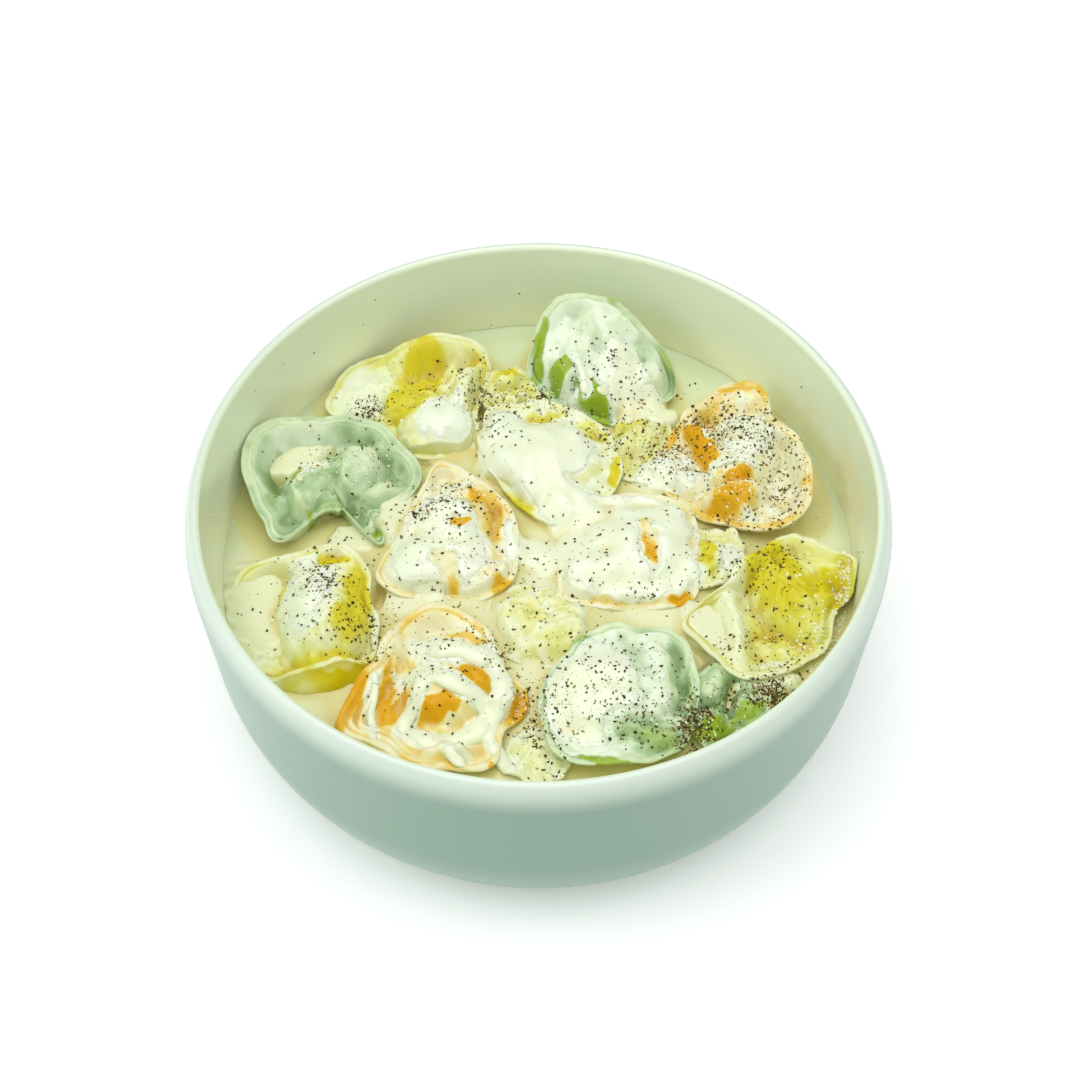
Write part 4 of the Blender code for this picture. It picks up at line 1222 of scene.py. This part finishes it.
cheese = {
    "sizes": (0.14, 0.42), "flat": 0.8, "crowd": 1.3, "seed": 12, "sink": 0.25, "reach": 75.0,
    "chipping": 0.3, "shapeSeed": 8, "turnSeed": 6,
    "pale": (240, 242, 216), "deep": (228, 226, 170),
    "clusters": [(72, -20, 2.2, 7, 260), (73.4, -21, 1.2, 8, 360), (69, -31, 3, 2.4, 140),
                 (66, -30, 4, 3.5, 200), (60, -20, 7, 7, 70), (52, 28, 6, 8, 200), (57, 37, 4, 4, 60),
                 (-44, 24, 5, 4, 110), (-4, -45, 3, 4, 70), (-7, 46, 5, 4, 90), (2, 46, 5, 3, 80),
                 (38, -48, 5, 4, 60), (48, 13, 6, 3, 50), (30, 30, 8, 8, 60), (-18, 6, 6, 6, 40),
                 (14, 33, 5, 4, 40)],
}
drops = {
    "flat": 0.8, "sink": 0.2, "chipping": 0.04, "shapeSeed": 30, "turnSeed": 9, "detail": 3,
    "places": [(13.2, 49.5, 0.75), (16.2, 45.8, 1.25), (32.6, 62.0, 0.9), (-58.5, 17.5, 0.8),
               (-41, 42.5, 0.7), (62.5, 41.0, 0.8), (-34.5, 39.0, 0.6)],    # x, y and half size
}


def grainShapes(facts):
    # three chipped grains, modelled once and copied
    shapes = []
    for index in range(3):
        bpy.ops.mesh.primitive_ico_sphere_add(subdivisions=facts.get("detail", 1), radius=mm)
        obj = bpy.context.object
        bpy.ops.object.mode_set(mode="EDIT")
        bpy.ops.transform.vertex_random(offset=facts["chipping"] * mm, uniform=1.0,
                                        seed=facts["shapeSeed"] + index)
        bpy.ops.object.mode_set(mode="OBJECT")
        faces = np.array([list(face.vertices) for face in obj.data.polygons])
        shapes.append((pointsOf(obj), faces))
        bpy.data.objects.remove(obj, do_unlink=True)
    return shapes


def scatter(name, facts, places, finish):
    # places: position, surface normal, half size
    shapes = grainShapes(facts)
    draws = np.random.default_rng(facts["turnSeed"])
    allPoints, allFaces, tones = [], [], []
    count = 0
    for position, normal, size in places:
        points, faces = shapes[draws.integers(len(shapes))]
        stretch = [draws.uniform(0.8, 1.7), draws.uniform(0.6, 1.1), facts["flat"] * draws.uniform(0.6, 1.2)]
        turn = draws.uniform(0, 2 * math.pi)
        side = normal.orthogonal().normalized()
        first = side * math.cos(turn) + normal.cross(side) * math.sin(turn)
        basis = np.array([first, normal.cross(first), normal])
        allPoints.append((points * (np.array(stretch) * size)) @ basis + np.array(position))
        allFaces.append(faces + count)
        tones.append(np.full(len(points), draws.random()))
        count += len(points)
    obj = newObject(name, np.concatenate(allPoints), np.concatenate(allFaces).tolist())
    paintPoints(obj, "tone", np.concatenate(tones))
    return settle(obj, name, "cream", finish)


def restOn(tree, x, y, size, sink):
    # a place for something of this half size, or none where no food lies below
    point, normal = fallOn(tree, x, y)
    if point is None:
        return []
    return [(np.array(point) / mm + np.array(normal) * sink * size, normal, size)]


def fallingGrains(facts, tree):
    draws = np.random.default_rng(facts["seed"])
    small, large = facts["sizes"]
    places = []
    for middleX, middleY, spreadX, spreadY, number in facts["clusters"]:
        for _ in range(int(number * facts["crowd"])):
            x = middleX + spreadX * draws.normal()
            y = middleY + spreadY * draws.normal()
            size = small + (large - small) * draws.random() ** 2.6
            if math.hypot(x, y) <= facts["reach"]:
                places += restOn(tree, x, y, size, facts["sink"])
    return places


def specksOnWall(facts):
    draws = np.random.default_rng(facts["seed"])
    places = []
    for _ in range(facts["number"]):
        turn = draws.uniform(0, 2 * math.pi)
        height = draws.uniform(*facts["heights"])
        outward = Vector((math.cos(turn), math.sin(turn), 0))
        place = np.array(outward) * (innerRadius(height) - 0.02) + np.array((0, 0, height))
        places.append((place, -outward, draws.uniform(*facts["sizes"])))
    return places


def pepperFinish():
    pepperSkin = Finish("groundPepper", {"Specular IOR Level": 0.3})
    tint = pepperSkin.ramp(pepperSkin.painted("tone"), pepper["tones"])
    chip = pepperSkin.noise(2500.0, 2.0)
    pepperSkin.give("Base Color", pepperSkin.blend(chip * 0.3, tint, pepper["chip"]))
    pepperSkin.give("Roughness", 0.55 + 0.3 * chip)
    return pepperSkin


def cheeseFinish():
    curd = Finish("gratedCheese", {"Specular IOR Level": 0.4})
    grain = curd.noise(1800.0, 2.0)
    shade = curd.painted("tone") * 0.6 + grain * 0.3
    curd.give("Base Color", curd.blend(shade, cheese["pale"], cheese["deep"]))
    curd.give("Roughness", 0.45 + 0.2 * grain)
    return curd


foodTree = treeOf(dumplingObjects + [creamObject, strandObject])
pepperPlaces = fallingGrains(pepper, foodTree) + specksOnWall(pepper["wallSpecks"])
scatter("groundPepper", pepper, pepperPlaces, pepperFinish())
print("pepper ground:", len(pepperPlaces), "grains")

cheesePlaces = fallingGrains(cheese, foodTree)
cheeseSkin = cheeseFinish()
scatter("cheeseCrumbs", cheese, cheesePlaces, cheeseSkin)
print("cheese grated:", len(cheesePlaces), "crumbs")

dropPlaces = []
for x, y, size in drops["places"]:
    dropPlaces += restOn(foodTree, x, y, size, drops["sink"])
dropObject = scatter("creamDrops", drops, dropPlaces, cheeseSkin)
for face in dropObject.data.polygons:
    face.use_smooth = True
print("drops placed:", len(dropPlaces))

studio = {
    "floorSize": 3.0,
    "skyColour": (0.96, 1.0, 0.96), "skyStrength": 0.26,
    "aim": (0, 0, 0.04),    # what the lights are turned to
    "lights": {
        "overheadSoftbox": {"size": 1.1, "power": 10.2, "place": (-0.06, -0.06, 1.10)},
        "frontFill": {"size": 0.7, "power": 0.7, "place": (0.1, -0.8, 0.6)},
        "leftFill": {"size": 0.6, "power": 2.3, "place": (-0.85, -0.15, 0.50)},
        "rightFill": {"size": 0.6, "power": 1.3, "place": (0.85, -0.10, 0.50)},
    },
    "camera": {"place": (0.0, -0.293595, 0.428542), "tilt": 37.495, "turn": -0.073, "lens": 66.9},
}


def makeFloor():
    bpy.ops.mesh.primitive_plane_add(size=studio["floorSize"])
    floor = bpy.context.object
    floor.name = "studioFloor"
    paper = Finish("whitePaper", {"Roughness": 0.9, "Specular IOR Level": 0.1, "Emission Strength": 0.22,
                                  "Emission Color": (1.0, 1.0, 1.0, 1.0)})
    paper.give("Base Color", paper.blend(paper.noise(30.0, 2.0) * 0.3, (252, 252, 252), (249, 250, 249)))
    floor.data.materials.append(paper.material)


def makeLight(name, facts):
    bpy.ops.object.light_add(type="AREA", location=facts["place"])
    light = bpy.context.object
    light.name = name
    light.data.size = facts["size"]
    light.data.energy = facts["power"]
    direction = Vector(studio["aim"]) - Vector(facts["place"])
    light.rotation_euler = direction.to_track_quat("-Z", "Y").to_euler()


def makeCamera(facts):
    bpy.ops.object.camera_add(location=facts["place"],
                              rotation=(math.radians(facts["tilt"]), 0.0, math.radians(facts["turn"])))
    camera = bpy.context.object
    camera.name = "tableCamera"
    camera.data.sensor_width = 36.0
    camera.data.lens = facts["lens"]
    bpy.context.scene.camera = camera


world = bpy.data.worlds.new("paleStudio")
bpy.context.scene.world = world
world.use_nodes = True
sky = world.node_tree.nodes["Background"]
sky.inputs["Color"].default_value = (*studio["skyColour"], 1.0)
sky.inputs["Strength"].default_value = studio["skyStrength"]
bpy.context.scene.view_settings.view_transform = "Standard"
makeFloor()
for name, facts in studio["lights"].items():
    makeLight(name, facts)
makeCamera(studio["camera"])
bpy.context.view_layer.update()
print("studio set")
